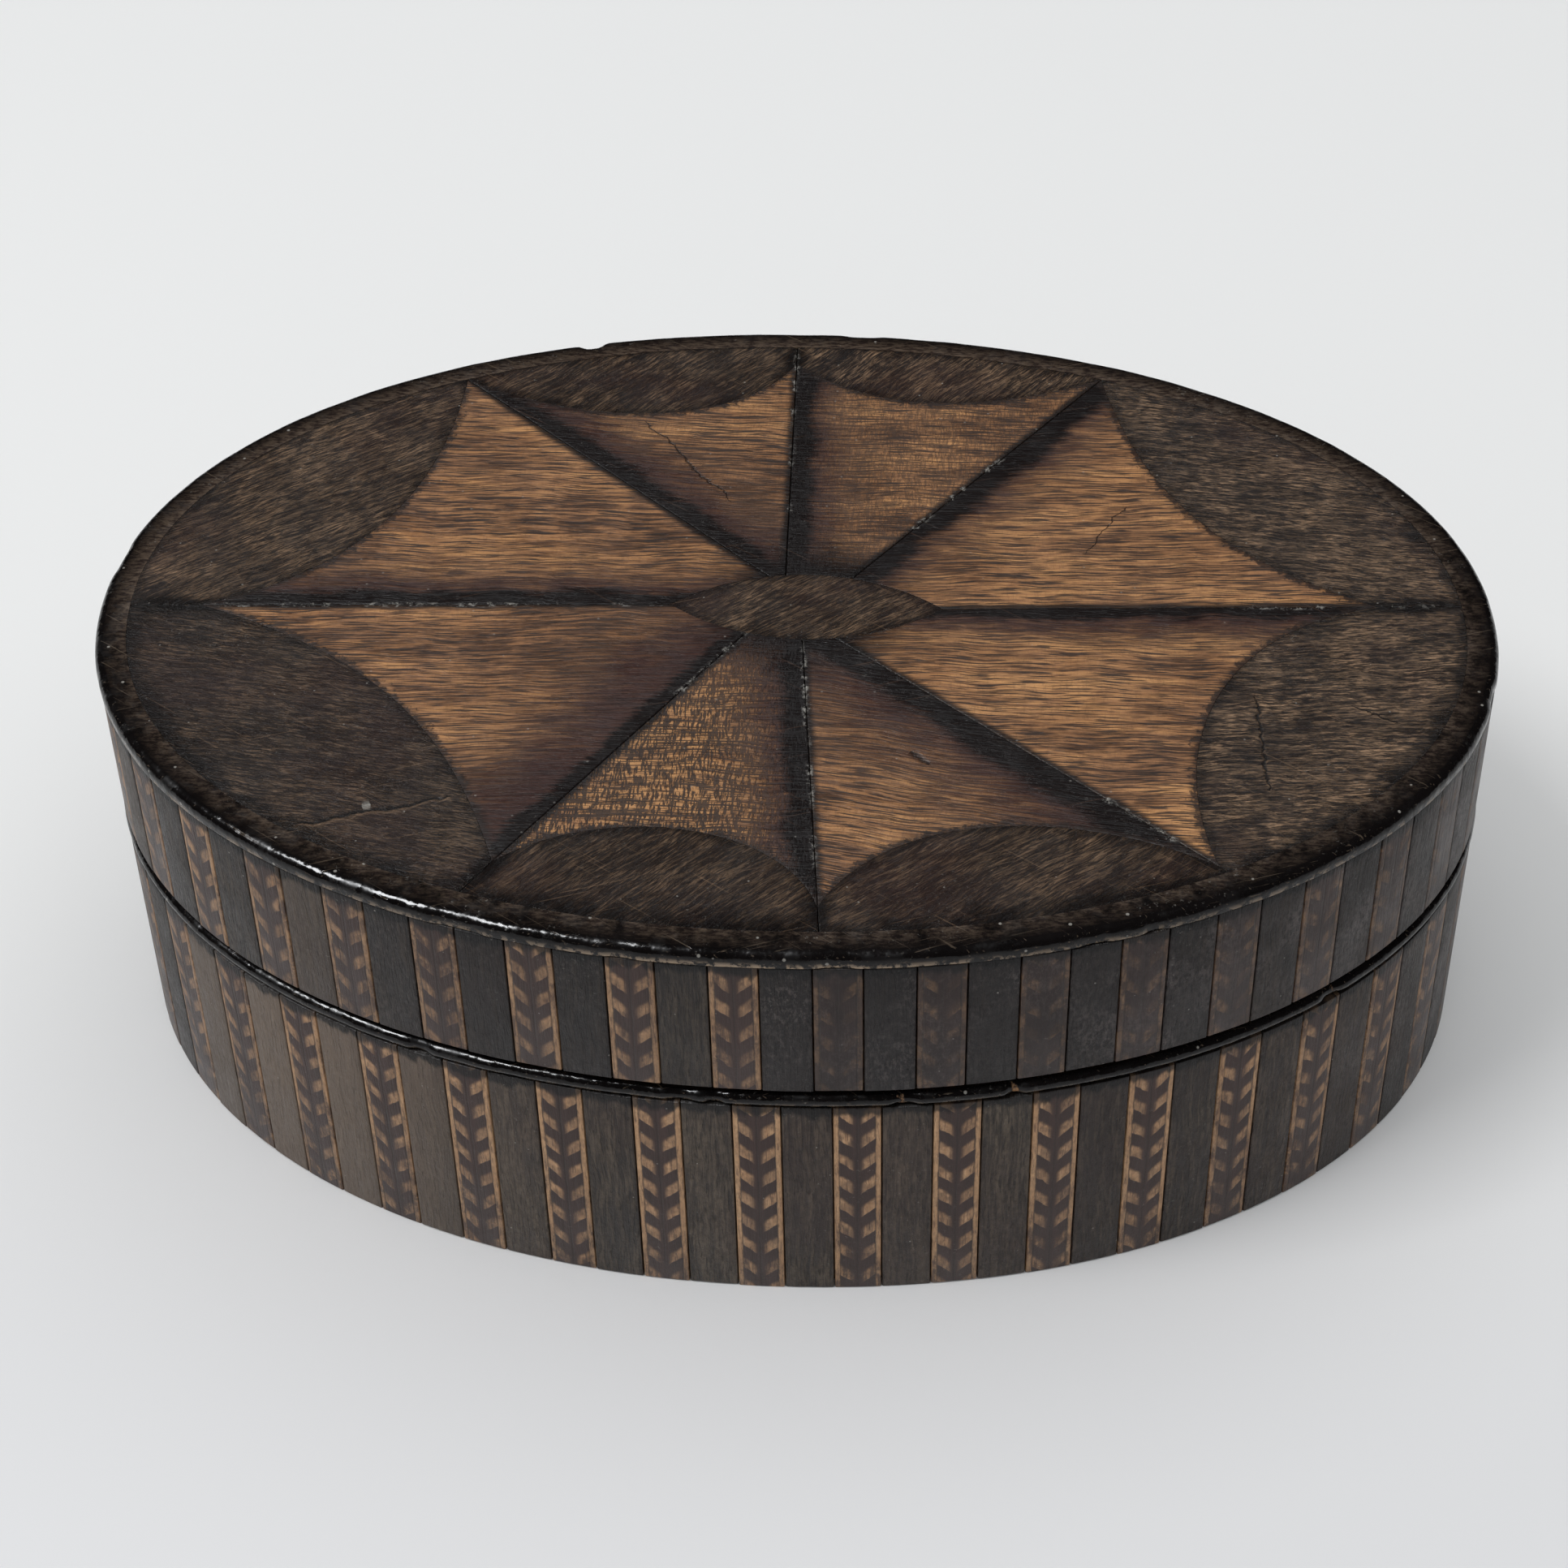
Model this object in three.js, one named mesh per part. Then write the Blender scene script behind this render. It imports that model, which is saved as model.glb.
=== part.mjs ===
// An oval wooden table box with a lift-off lid. The lid's top is inlaid with eight fan panels round
// a pointed centre, and both walls are clad in striped veneer with dark edging.
// Millimetres, +Z up. +X runs along the long axis, the front faces -Y, and the origin is the middle
// of the underside.

import * as THREE from 'three';

// Outside of the closed box, measured over the striped walls
const boxLength = 100;
const boxWidth = 70;
const ovalPower = 2.07; // 2 is a true ellipse, and more makes the ends fuller
const baseHeight = 19.7;
const seamGap = 0.5;
const lidHeight = 12.8;

// Plain wood of the two carcasses
const floorThickness = 3;
const lidBoardThickness = 3;
const lidWallThickness = 2.2;
const slipClearance = 0.3; // between the lid's wall and the lining that it slips over
const liningThickness = 1.5;
const liningRise = 6; // how far the lining stands up inside the closed lid
const liningRounding = 0.5;

// Striped veneer, in pairs of one feather band and one plain dark stave
const veneerThickness = 0.8;
const stripePairs = 40;
const featherBandWidth = 3.3;
const jointGrooveWidth = 0.24;
const jointGrooveDepth = 0.12;
const lidStripeShift = -1.6; // from the middle of the front to the nearest band's centre
const baseStripeShift = -0.4;

// Dark edging round the top and round the base's upper edge
const edgingProud = 0.1;
const lidEdgingWidth = 2.2;
const lidEdgingHeight = 1.2;
const lidEdgingRounding = 0.7;
const baseEdgingHeight = 1.1;

// Inlaid top. Headings are in degrees from +X towards +Y, seen from above.
const inlayCentreX = 1;
const inlayCentreY = 0.4;
const centreOvalLength = 19.5;
const centreOvalWidth = 7.3;
const centreOvalHeading = 0.9;
// How far inside the edging the tips of the rim lenses meet, on the joints where they stop short of it
const rightInset = 6;
const backInset = 2.3;
const leftInset = 5.2;
const frontLeftInset = 3.5;
const frontInset = 2.3;
const frontRightInset = 0.8;
// Each sector starts at a radial joint, which leaves the centre oval at one heading from the inlay's
// centre and ends at the edging at another. Its lens curves inwards from there to the next joint,
// and swell gives the degrees between the curve and its chord at the lens's two tips. The joints to
// the right and left leave from the centre oval's two points.
const sectors = [
  { place: 'right_back', leaves: centreOvalHeading, ends: 2.5, tipInset: rightInset, swell: [30, 24] },
  { place: 'back_right', leaves: 47.3, ends: 53.8, tipInset: 0, swell: [31, 42] },
  { place: 'back_left', leaves: 115.8, ends: 94.7, tipInset: backInset, swell: [58, 38] },
  { place: 'left_back', leaves: 130.2, ends: 136.2, tipInset: 0, swell: [28, 39] },
  { place: 'left_front', leaves: centreOvalHeading + 180, ends: 182.3, tipInset: leftInset, swell: [26, 24] },
  { place: 'front_left', leaves: 217, ends: 235.6, tipInset: frontLeftInset, swell: [52, 62] },
  { place: 'front_right', leaves: 269.3, ends: 274.9, tipInset: frontInset, swell: [56, 41] },
  { place: 'right_front', leaves: 303.2, ends: 318.1, tipInset: frontRightInset, swell: [41, 51] },
];

// Fineness of the curves
const ovalSamples = 4000;
const roundingStep = 30; // degrees
const lensArcSteps = 12;
const centreOvalStep = 15; // degrees
const lensHandleShare = 0.4; // how much of its chord a lens's curve keeps to each end's angle
const samePointDistance = 1e-6;

// Depths in from the striped face of the nested rings
const lidWallInside = veneerThickness + lidWallThickness;
const liningSeat = lidWallInside + slipClearance;
const liningInside = liningSeat + liningThickness;

const TURN = 2 * Math.PI;

// Point of the oval at an angle, moved square to the wall by inset, where a negative inset is outwards.
function ovalPoint(angle, inset) {
  const cosine = Math.cos(angle);
  const sine = Math.sin(angle);
  const across = Math.sign(cosine) * Math.abs(cosine) ** (2 / ovalPower);
  const along = Math.sign(sine) * Math.abs(sine) ** (2 / ovalPower);
  const normal = new THREE.Vector2(
    (Math.sign(across) * Math.abs(across) ** (ovalPower - 1)) / boxLength,
    (Math.sign(along) * Math.abs(along) ** (ovalPower - 1)) / boxWidth,
  ).normalize();
  return new THREE.Vector2((across * boxLength) / 2, (along * boxWidth) / 2).addScaledVector(normal, -inset);
}

// Running length of the wall at evenly stepped angles, starting from the middle of the front.
function measureOval() {
  const lengths = [0];
  let previous = ovalPoint(-TURN / 4, 0);
  for (let i = 1; i <= ovalSamples; i += 1) {
    const next = ovalPoint(-TURN / 4 + (TURN * i) / ovalSamples, 0);
    lengths.push(lengths[i - 1] + next.distanceTo(previous));
    previous = next;
  }
  return lengths;
}

const ovalLengths = measureOval();
const perimeter = ovalLengths[ovalSamples];

// Angle of the oval at a distance along the wall from the middle of the front.
function angleAt(distance) {
  const wrapped = THREE.MathUtils.euclideanModulo(distance, perimeter);
  let i = 1;
  while (ovalLengths[i] < wrapped) i += 1;
  const share = (wrapped - ovalLengths[i - 1]) / (ovalLengths[i] - ovalLengths[i - 1]);
  return -TURN / 4 + (TURN * (i - 1 + share)) / ovalSamples;
}

// Distances along the wall of the joints between the stripes.
function stripeJoints(shift) {
  const joints = [];
  for (let pair = 0; pair < stripePairs; pair += 1) {
    const bandCentre = shift + (perimeter * pair) / stripePairs;
    joints.push(bandCentre - featherBandWidth / 2);
    joints.push(bandCentre + featherBandWidth / 2);
  }
  return joints;
}

const lidJoints = stripeJoints(lidStripeShift);
const baseJoints = stripeJoints(baseStripeShift);

// The oval drawn through one point at each stripe joint.
function ovalOutline(joints, inset) {
  return joints.map((distance) => ovalPoint(angleAt(distance), inset));
}

// The striped face, with a fine groove at each joint.
function stripedOutline(joints) {
  return joints.flatMap((distance) => [
    ovalPoint(angleAt(distance - jointGrooveWidth / 2), 0),
    ovalPoint(angleAt(distance), jointGrooveDepth),
    ovalPoint(angleAt(distance + jointGrooveWidth / 2), 0),
  ]);
}

function extrude(outline, height, hole) {
  const shape = new THREE.Shape(outline);
  if (hole) shape.holes.push(new THREE.Path(hole));
  return new THREE.ExtrudeGeometry(shape, { depth: height, bevelEnabled: false });
}

// A ring with a shaped section. The profile lists inset and height, up its outer side and down its
// inner side. A lathe makes the round ring, whose points are then put on the oval.
function ovalRing(profile, joints) {
  const closed = [...profile, profile[0]];
  const lathe = new THREE.LatheGeometry(
    closed.map(([inset, height]) => new THREE.Vector2(boxWidth - inset, height)),
    joints.length,
  );
  const position = lathe.attributes.position;
  for (let i = 0; i < position.count; i += 1) {
    const joint = joints[Math.floor(i / closed.length) % joints.length];
    const [inset, height] = closed[i % closed.length];
    const point = ovalPoint(angleAt(joint), inset);
    position.setXYZ(i, point.x, point.y, height);
  }
  lathe.computeVertexNormals();
  return lathe;
}

// Part of a circle in a profile, from startTurn to endTurn degrees, where 0 faces outwards and 90 up.
function profileArc(inset, height, radius, startTurn, endTurn) {
  const points = [];
  const steps = (endTurn - startTurn) / roundingStep;
  for (let i = 0; i <= steps; i += 1) {
    const turn = THREE.MathUtils.degToRad(startTurn + i * roundingStep);
    points.push([inset - radius * Math.cos(turn), height + radius * Math.sin(turn)]);
  }
  return points;
}

// Edging of the lid, with a rounded upper corner.
function lidEdgingProfile() {
  const shoulder = lidEdgingHeight - lidEdgingRounding;
  return [
    [-edgingProud, 0],
    ...profileArc(lidEdgingRounding - edgingProud, shoulder, lidEdgingRounding, 0, 90),
    [lidEdgingWidth, lidEdgingHeight],
    [lidEdgingWidth, 0],
  ];
}

// Edging of the base: a half-round bead outside, as deep as the wall that it caps.
function baseEdgingProfile() {
  const radius = baseEdgingHeight / 2;
  return [
    ...profileArc(radius - edgingProud, radius, radius, -90, 90),
    [liningSeat, baseEdgingHeight],
    [liningSeat, 0],
  ];
}

// Lining of the base, with both upper corners rounded to lead the lid on.
function liningProfile() {
  const height = baseHeight + liningRise - floorThickness;
  const top = height - liningRounding;
  return [
    [liningSeat, 0],
    ...profileArc(liningSeat + liningRounding, top, liningRounding, 0, 90),
    ...profileArc(liningInside - liningRounding, top, liningRounding, 90, 180),
    [liningInside, 0],
  ];
}

// The inlay fills the edging's inner outline.
const edgingInside = ovalOutline(lidJoints, lidEdgingWidth);
const inlayCentre = new THREE.Vector2(inlayCentreX, inlayCentreY);
const leaveTurns = sectors.map((sector) => THREE.MathUtils.degToRad(sector.leaves));
const endTurns = sectors.map((sector) => THREE.MathUtils.degToRad(sector.ends));

function fromInlayCentre(turn, reach) {
  return inlayCentre.clone().add(new THREE.Vector2(reach * Math.cos(turn), reach * Math.sin(turn)));
}

// Point of the pointed oval's edge in a direction. Its two arcs share one radius.
function centrePoint(turn) {
  const halfLength = centreOvalLength / 2;
  const halfWidth = centreOvalWidth / 2;
  const radius = (halfLength ** 2 + halfWidth ** 2) / (2 * halfWidth);
  const sine = Math.sin(turn - THREE.MathUtils.degToRad(centreOvalHeading));
  const drop = (radius - halfWidth) * Math.abs(sine);
  return fromInlayCentre(turn, Math.hypot(drop, halfLength) - drop);
}

// Point of the edging's inner side in a direction from the inlay's centre.
function rimPoint(turn) {
  const ahead = new THREE.Vector2(Math.cos(turn), Math.sin(turn));
  let reach = 0;
  edgingInside.forEach((start, i) => {
    const from = start.clone().sub(inlayCentre);
    const side = edgingInside[(i + 1) % edgingInside.length].clone().sub(start);
    const across = ahead.cross(side);
    const share = from.cross(ahead) / across;
    const distance = from.cross(side) / across;
    if (share >= 0 && share <= 1 && distance > 0) reach = distance;
  });
  return fromInlayCentre(turn, reach);
}

// Where each radial joint leaves the centre oval, where its lens tips meet, and where it ends.
const radialJoints = sectors.map(({ tipInset }, i) => {
  const start = centrePoint(leaveTurns[i]);
  const end = rimPoint(endTurns[i]);
  const tip = end.clone().lerp(start, tipInset / end.distanceTo(start));
  return { start, tip, end };
});

function nextSector(i) {
  return (i + 1) % sectors.length;
}

// Turn from a sector's first joint to its second, at the centre oval or at the edging.
function sectorSpan(turns, i) {
  return THREE.MathUtils.euclideanModulo(turns[nextSector(i)] - turns[i], TURN);
}

// The curve between two lens tips, without its two ends. It swells to the left.
function swelledCurve(from, to, [startDegrees, endDegrees]) {
  const handle = to.clone().sub(from).multiplyScalar(lensHandleShare);
  const origin = new THREE.Vector2();
  const startHandle = handle.clone().rotateAround(origin, THREE.MathUtils.degToRad(startDegrees));
  const endHandle = handle.clone().rotateAround(origin, -THREE.MathUtils.degToRad(endDegrees));
  const nearStart = from.clone().add(startHandle);
  const nearEnd = to.clone().sub(endHandle);
  return new THREE.CubicBezierCurve(from, nearStart, nearEnd, to).getPoints(lensArcSteps).slice(1, -1);
}

function lensArc(i) {
  return swelledCurve(radialJoints[i].tip, radialJoints[nextSector(i)].tip, sectors[i].swell);
}

// The centre oval's edge within a sector, without the ends on its two joints.
function centreEdge(i) {
  const span = sectorSpan(leaveTurns, i);
  const steps = Math.ceil(THREE.MathUtils.radToDeg(span) / centreOvalStep);
  const points = [];
  for (let step = 1; step < steps; step += 1) {
    points.push(centrePoint(leaveTurns[i] + (span * step) / steps));
  }
  return points;
}

// The edging's corners that lie within a sector, in order.
function rimEdge(i) {
  const turned = edgingInside.map((point) => {
    const offset = point.clone().sub(inlayCentre);
    return { point, turn: THREE.MathUtils.euclideanModulo(offset.angle() - endTurns[i], TURN) };
  });
  const within = turned.filter(({ turn }) => turn > 0 && turn < sectorSpan(endTurns, i));
  return within.sort((a, b) => a.turn - b.turn).map(({ point }) => point);
}

// Drops each point that repeats the one before it, as where a lens tip reaches the edging.
function withoutRepeats(points) {
  const previous = (i) => points[(i + points.length - 1) % points.length];
  return points.filter((point, i) => point.distanceTo(previous(i)) > samePointDistance);
}

function fanOutline(i) {
  const next = radialJoints[nextSector(i)];
  return withoutRepeats([
    radialJoints[i].start,
    radialJoints[i].tip,
    ...lensArc(i),
    next.tip,
    next.start,
    ...centreEdge(i).reverse(),
  ]);
}

function lensOutline(i) {
  const next = radialJoints[nextSector(i)];
  return withoutRepeats([
    radialJoints[i].tip,
    radialJoints[i].end,
    ...rimEdge(i),
    next.end,
    next.tip,
    ...lensArc(i).reverse(),
  ]);
}

function centreOvalOutline() {
  return sectors.flatMap((sector, i) => [radialJoints[i].start, ...centreEdge(i)]);
}

function wood(colour, roughness) {
  return new THREE.MeshStandardMaterial({ color: colour, roughness, metalness: 0 });
}

const plainWood = wood(0x6b4a34, 0.75);
const fanWood = wood(0xa8744e, 0.5);
const lensWood = wood(0x4b3e32, 0.5);
const centreWood = wood(0x504637, 0.5);
const edgingWood = wood(0x141210, 0.3);
const stripedWood = wood(0x4a3f36, 0.45);

function piece(name, geometry, material, bottom) {
  const mesh = new THREE.Mesh(geometry, material);
  mesh.name = name;
  mesh.position.z = bottom;
  return mesh;
}

function board(joints, inset, thickness) {
  return extrude(ovalOutline(joints, inset), thickness);
}

// The plain ring under the veneer, and the striped ring that clads it.
function wallRing(joints, inside, height) {
  return extrude(ovalOutline(joints, veneerThickness), height, ovalOutline(joints, inside));
}

function stripedRing(joints, height) {
  return extrude(stripedOutline(joints), height, ovalOutline(joints, veneerThickness));
}

// The base, from the floor up
const base = new THREE.Group();
const baseWallHeight = baseHeight - baseEdgingHeight;
base.add(
  piece('base_floor', board(baseJoints, liningSeat, floorThickness), plainWood, 0),
  piece('base_wall', wallRing(baseJoints, liningSeat, baseWallHeight), plainWood, 0),
  piece('base_striped_veneer', stripedRing(baseJoints, baseWallHeight), stripedWood, 0),
  piece('base_edging', ovalRing(baseEdgingProfile(), baseJoints), edgingWood, baseWallHeight),
  piece('base_lining', ovalRing(liningProfile(), baseJoints), plainWood, floorThickness),
);

// The lid, measured up from its lower edge
const lid = new THREE.Group();
lid.position.z = baseHeight + seamGap;
const inlayBottom = lidHeight - lidEdgingHeight;
const boardBottom = inlayBottom - lidBoardThickness;
lid.add(
  piece('lid_wall', wallRing(lidJoints, lidWallInside, boardBottom), plainWood, 0),
  piece('lid_board', board(lidJoints, veneerThickness, lidBoardThickness), plainWood, boardBottom),
  piece('lid_striped_veneer', stripedRing(lidJoints, inlayBottom), stripedWood, 0),
  piece('lid_edging', ovalRing(lidEdgingProfile(), lidJoints), edgingWood, inlayBottom),
  piece('centre_oval', extrude(centreOvalOutline(), lidEdgingHeight), centreWood, inlayBottom),
);
sectors.forEach(({ place }, i) => {
  lid.add(
    piece(`fan_${place}`, extrude(fanOutline(i), lidEdgingHeight), fanWood, inlayBottom),
    piece(`rim_lens_${place}`, extrude(lensOutline(i), lidEdgingHeight), lensWood, inlayBottom),
  );
});

const box = new THREE.Group();
box.add(base, lid);

export default box;
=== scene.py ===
"""Dresses an oval wooden table box with a lift-off lid: inlaid top, dark edging and striped veneer walls.

Lengths are in metres, or in millimetres where it says so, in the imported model's frame: +X to the
right, the front faces -Y, +Z up.
"""

from collections import namedtuple
from math import cos, radians, sin
from types import SimpleNamespace

import bmesh
import bpy
import numpy as np
from bpy.props import FloatProperty, FloatVectorProperty, IntProperty, PointerProperty
from mathutils import Matrix, Vector


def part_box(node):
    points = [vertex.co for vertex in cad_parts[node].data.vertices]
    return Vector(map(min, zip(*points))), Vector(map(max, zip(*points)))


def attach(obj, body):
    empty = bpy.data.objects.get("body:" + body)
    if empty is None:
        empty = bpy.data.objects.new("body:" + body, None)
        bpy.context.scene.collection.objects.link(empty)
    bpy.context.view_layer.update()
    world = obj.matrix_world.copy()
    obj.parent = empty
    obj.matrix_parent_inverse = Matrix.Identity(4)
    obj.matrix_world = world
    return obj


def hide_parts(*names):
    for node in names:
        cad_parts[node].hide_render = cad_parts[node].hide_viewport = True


bl_info = {
    "name": "Oval Inlaid Box",
    "version": (1, 0, 0),
    "blender": (4, 5, 0),
    "location": "3D View > Sidebar > Oval Box",
    "description": "Veneers, inlay, edging and studio for an oval wooden table box",
    "category": "Object",
}

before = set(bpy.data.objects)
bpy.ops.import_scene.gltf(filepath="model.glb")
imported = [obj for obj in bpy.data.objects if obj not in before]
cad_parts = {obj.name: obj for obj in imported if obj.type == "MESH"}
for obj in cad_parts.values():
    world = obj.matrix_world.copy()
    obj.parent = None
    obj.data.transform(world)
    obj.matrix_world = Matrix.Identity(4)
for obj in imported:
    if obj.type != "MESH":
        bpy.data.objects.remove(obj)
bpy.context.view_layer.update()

MM = 0.001
TURN = 2 * np.pi

# Width of the camera's sensor, in millimetres
SENSOR_WIDTH = 36

# Place and side of each soft light, in metres, and its tint
LIGHTS = {
    "lamp": ((-0.6, -0.3, 1.15), 0.45, (1.0, 1.0, 1.0)),
    "ceiling": ((0.3, 0.1, 2.1), 3.0, (1.0, 1.0, 0.99)),
    "glint": ((-0.42, -0.16, 0.66), 0.3, (0.95, 0.97, 1.0)),
}
SKY_TINT = (0.93, 0.96, 1.0)

# Points in a curve or across a surface
WALK_STEPS = 4000
RING_STATIONS = 320
EDGING_STATIONS = 900
PANEL_STEPS = 44
CURVE_STEPS = 200
FLOOR_STEPS = 9

# Edges that turn by more than this, in degrees, stay sharp
CREASE = 40

# Points closer than this, in metres, become one
MERGED = 1e-7

# How the shader nodes are laid out for reading
NODE_COLUMNS = 12
NODE_WIDTH = 180
NODE_HEIGHT = 260

# How strongly the polished woods mirror
INLAY_SPECULAR = 0.3
WALL_SPECULAR = 0.32
EDGING_SPECULAR = 0.25

# Millimetres at which a joint or the edging has stopped darkening a wood
FAR = 9.0

# Lengths of the slow waves in the face of an inlaid panel
LONG_WAVE = 17 * MM
SHORT_WAVE = 11 * MM

# A dent in an edging this deep shows raw wood
DEEP_DENT = 0.4 * MM

# How soiled the walls are, from 0 to 1. The lid's front right is more soiled than its front left by
# the swing, and the base's ends are more soiled than the middle of its front by the rise. Each strip
# differs from its neighbours by no more than the spread.
LID_SOIL = 0.68
LID_SWING = 0.34
LID_SPREAD = 0.12
BASE_SOIL = 0.08
BASE_RISE = 0.55
BASE_SPREAD = 0.18


def srgb(red, green, blue):
    """Scene-linear colour of an sRGB colour given in 0 to 255."""
    shares = np.array([red, green, blue]) / 255
    return tuple(np.where(shares > 0.04045, ((shares + 0.055) / 1.055) ** 2.4, shares / 12.92))


def length(name, millimetres, description):
    """A length property, given in millimetres and kept in metres."""
    return FloatProperty(
        name=name, description=description, default=millimetres * MM, unit="LENGTH", precision=5
    )


def angle(name, degrees, description):
    """An angle property, given in degrees and kept in radians."""
    return FloatProperty(name=name, description=description, default=radians(degrees), subtype="ANGLE")


def share(name, default, description):
    """A property between 0 and 1."""
    return FloatProperty(
        name=name, description=description, default=default, min=0, max=1, subtype="FACTOR"
    )


def colour(name, default, description):
    """A colour property, in scene-linear shares of red, green and blue."""
    return FloatVectorProperty(
        name=name, description=description, default=default, size=3, min=0, max=1, subtype="COLOR"
    )


def extent(node):
    """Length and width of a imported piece, in millimetres."""
    low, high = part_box(node)
    return (high.x - low.x) / MM, (high.y - low.y) / MM


def heights(node):
    """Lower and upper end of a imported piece."""
    return [end.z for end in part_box(node)]


# Layout of the inlaid top. Headings are in degrees from +X towards +Y, seen from above. Each sector
# starts at a radial joint that leaves the centre oval at one heading and ends at the edging at
# another. tip is how far inside the edging the lens tips meet on that joint, in millimetres, and
# swell gives the degrees between the lens's curve and its chord at its two tips. The grain's turns are
# in degrees. crossed is the share of upright figure in the fan, smoked how far the dark reaches out
# from the centre, shading how wide the sand shading is, black the width of its darkest part in
# millimetres, and tone and lens_tone how light the fan and the lens are.
Sector = namedtuple(
    "Sector",
    "place leaves ends tip swell fan_grain lens_grain crossed smoked shading black tone lens_tone",
)
EAST_JOINT = 0.9
SECTORS = [
    Sector("right_back", EAST_JOINT, 2.5, 6.0, (30, 24), 2, -6, 0.0, 0.15, 1.0, 2.6, 0.62, 0.95),
    Sector("back_right", 47.3, 53.8, 0.0, (31, 42), 0, 52, 0.5, 0.35, 1.1, 2.3, 0.58, 0.8),
    Sector("back_left", 115.8, 94.7, 2.3, (58, 38), -4, 48, 0.15, 0.6, 1.3, 2.0, 0.38, 0.4),
    Sector("left_back", 130.2, 136.2, 0.0, (28, 39), 0, 36, 0.0, 0.3, 1.0, 2.0, 0.45, 0.6),
    Sector("left_front", EAST_JOINT + 180, 182.3, 5.2, (26, 24), 3, -8, 0.0, 0.9, 1.8, 1.5, 0.36, 0.28),
    Sector("front_left", 217.0, 235.6, 3.5, (52, 62), 0, 46, 1.0, 0.7, 1.1, 2.2, 1.0, 0.3),
    Sector("front_right", 269.3, 274.9, 2.3, (56, 41), -8, 40, 0.1, 0.45, 1.9, 3.0, 0.52, 0.3),
    Sector("right_front", 303.2, 318.1, 0.8, (41, 51), 0, 4, 0.0, 0.2, 0.9, 1.5, 0.62, 1.0),
]

# Where the edgings are knocked, in millimetres: distance along the wall from the middle of the front,
# towards +X, half width and depth
TOP_DENTS = [
    (-20, 1.6, 0.16),
    (-9, 0.9, 0.12),
    (5, 1.2, 0.14),
    (22, 1.0, 0.16),
    (26, 0.7, 0.2),
    (61, 1.4, 0.15),
    (132, 1.3, 0.12),
    (153.5, 0.9, 0.36),
    (199, 1.8, 0.14),
]
BEAD_DENTS = [
    (-5.5, 0.9, 0.2),
    (-3.2, 0.6, 0.25),
    (9.5, 0.8, 0.25),
    (17, 0.5, 0.3),
    (-24, 0.7, 0.25),
    (41, 0.8, 0.25),
    (88, 1.2, 0.3),
    (140, 0.8, 0.3),
    (190, 0.7, 0.25),
]

# Marks on the top: from, to and width, in millimetres from the box's middle. Along the worn joints,
# the width is that of the stretch in which pale flakes lie; these also paint glints along the joints.
LENS_CRACKS = [
    ((-31.8, -24.2), (-21.4, -21.0), 0.32),
    ((32.6, -7.6), (33.2, -18.0), 0.2),
    ((39.0, -8.8), (42.3, -10.6), 0.1),
]
LENS_CHIPS = [((-27.5, -22.3), (-26.9, -22.1), 0.6)]
FAN_SCRATCHES = [
    ((-13.0, 22.8), (-5.1, 12.3), 0.14),
    ((20.9, 7.2), (24.0, 13.4), 0.08),
    ((9.1, -14.8), (10.5, -16.2), 0.5),
]
FLAKED_GLINTING_JOINTS = [
    ((-46.0, -0.3), (-9.0, 0.2), 2.5),
    ((-2.7, -2.4), (-7.5, -10.2), 2.2),
    ((1.0, -3.0), (3.6, -30.0), 2.0),
    ((22.0, -18.8), (29.3, -25.0), 2.2),
    ((32.0, 1.4), (48.0, 2.4), 2.2),
    ((8.0, 9.6), (15.0, 19.2), 2.2),
    ((-1.0, 8.0), (-1.8, 33.0), 2.0),
]


class BoxSizes(bpy.types.PropertyGroup):
    """Sizes of the two walls and their veneers."""

    length: length("Length", extent("base_striped_veneer")[0], "Longest side over the striped walls")
    width: length("Width", extent("base_striped_veneer")[1], "Shorter side over the striped walls")
    oval_power: FloatProperty(
        name="Oval Power", description="2 is an ellipse, more makes the ends fuller", default=2.07
    )
    stripe_pairs: IntProperty(
        name="Stripe Pairs", description="Feather bands and plain staves on each level", default=40
    )
    band_width: length("Band Width", 3.3, "Width of a feather band with its strings")
    string_width: length("String Width", 0.42, "Width of the light string at each side of a band")
    feather_pitch: length("Feather Pitch", 2.35, "Height of one light and one dark feather")
    lid_shift: length("Lid Shift", -1.6, "From the middle of the front to the lid's nearest band")
    base_shift: length("Base Shift", -0.4, "From the middle of the front to the base's nearest band")
    veneer: length("Veneer", 0.8, "Thickness of the striped veneer")
    joint_gap: length("Joint Gap", 0.07, "Open joint between two strips")
    arris: length("Arris", 0.13, "Softening of each strip's edges")
    lid_wall_inside: length("Lid Wall Inside", 3.0, "Depth of the lid's inner face behind the stripes")
    lining_seat: length("Lining Seat", 3.3, "Depth of the lining's outer face behind the stripes")
    lining_inside: length("Lining Inside", 4.8, "Depth of the lining's inner face behind the stripes")
    lining_rounding: length("Lining Rounding", 0.5, "Rounding of the lining's upper edges")
    edging_proud: length("Edging Proud", 0.1, "How far both edgings stand out from the stripes")
    top_edging_width: length("Top Edging Width", 2.2, "Width of the edging seen from above")
    front_worn: length("Front Worn", 12, "Half of the stretch at the front where the edging is most worn")
    top_edging_rounding: length("Top Edging Rounding", 0.7, "Rounding of the top's outer corner")


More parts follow.
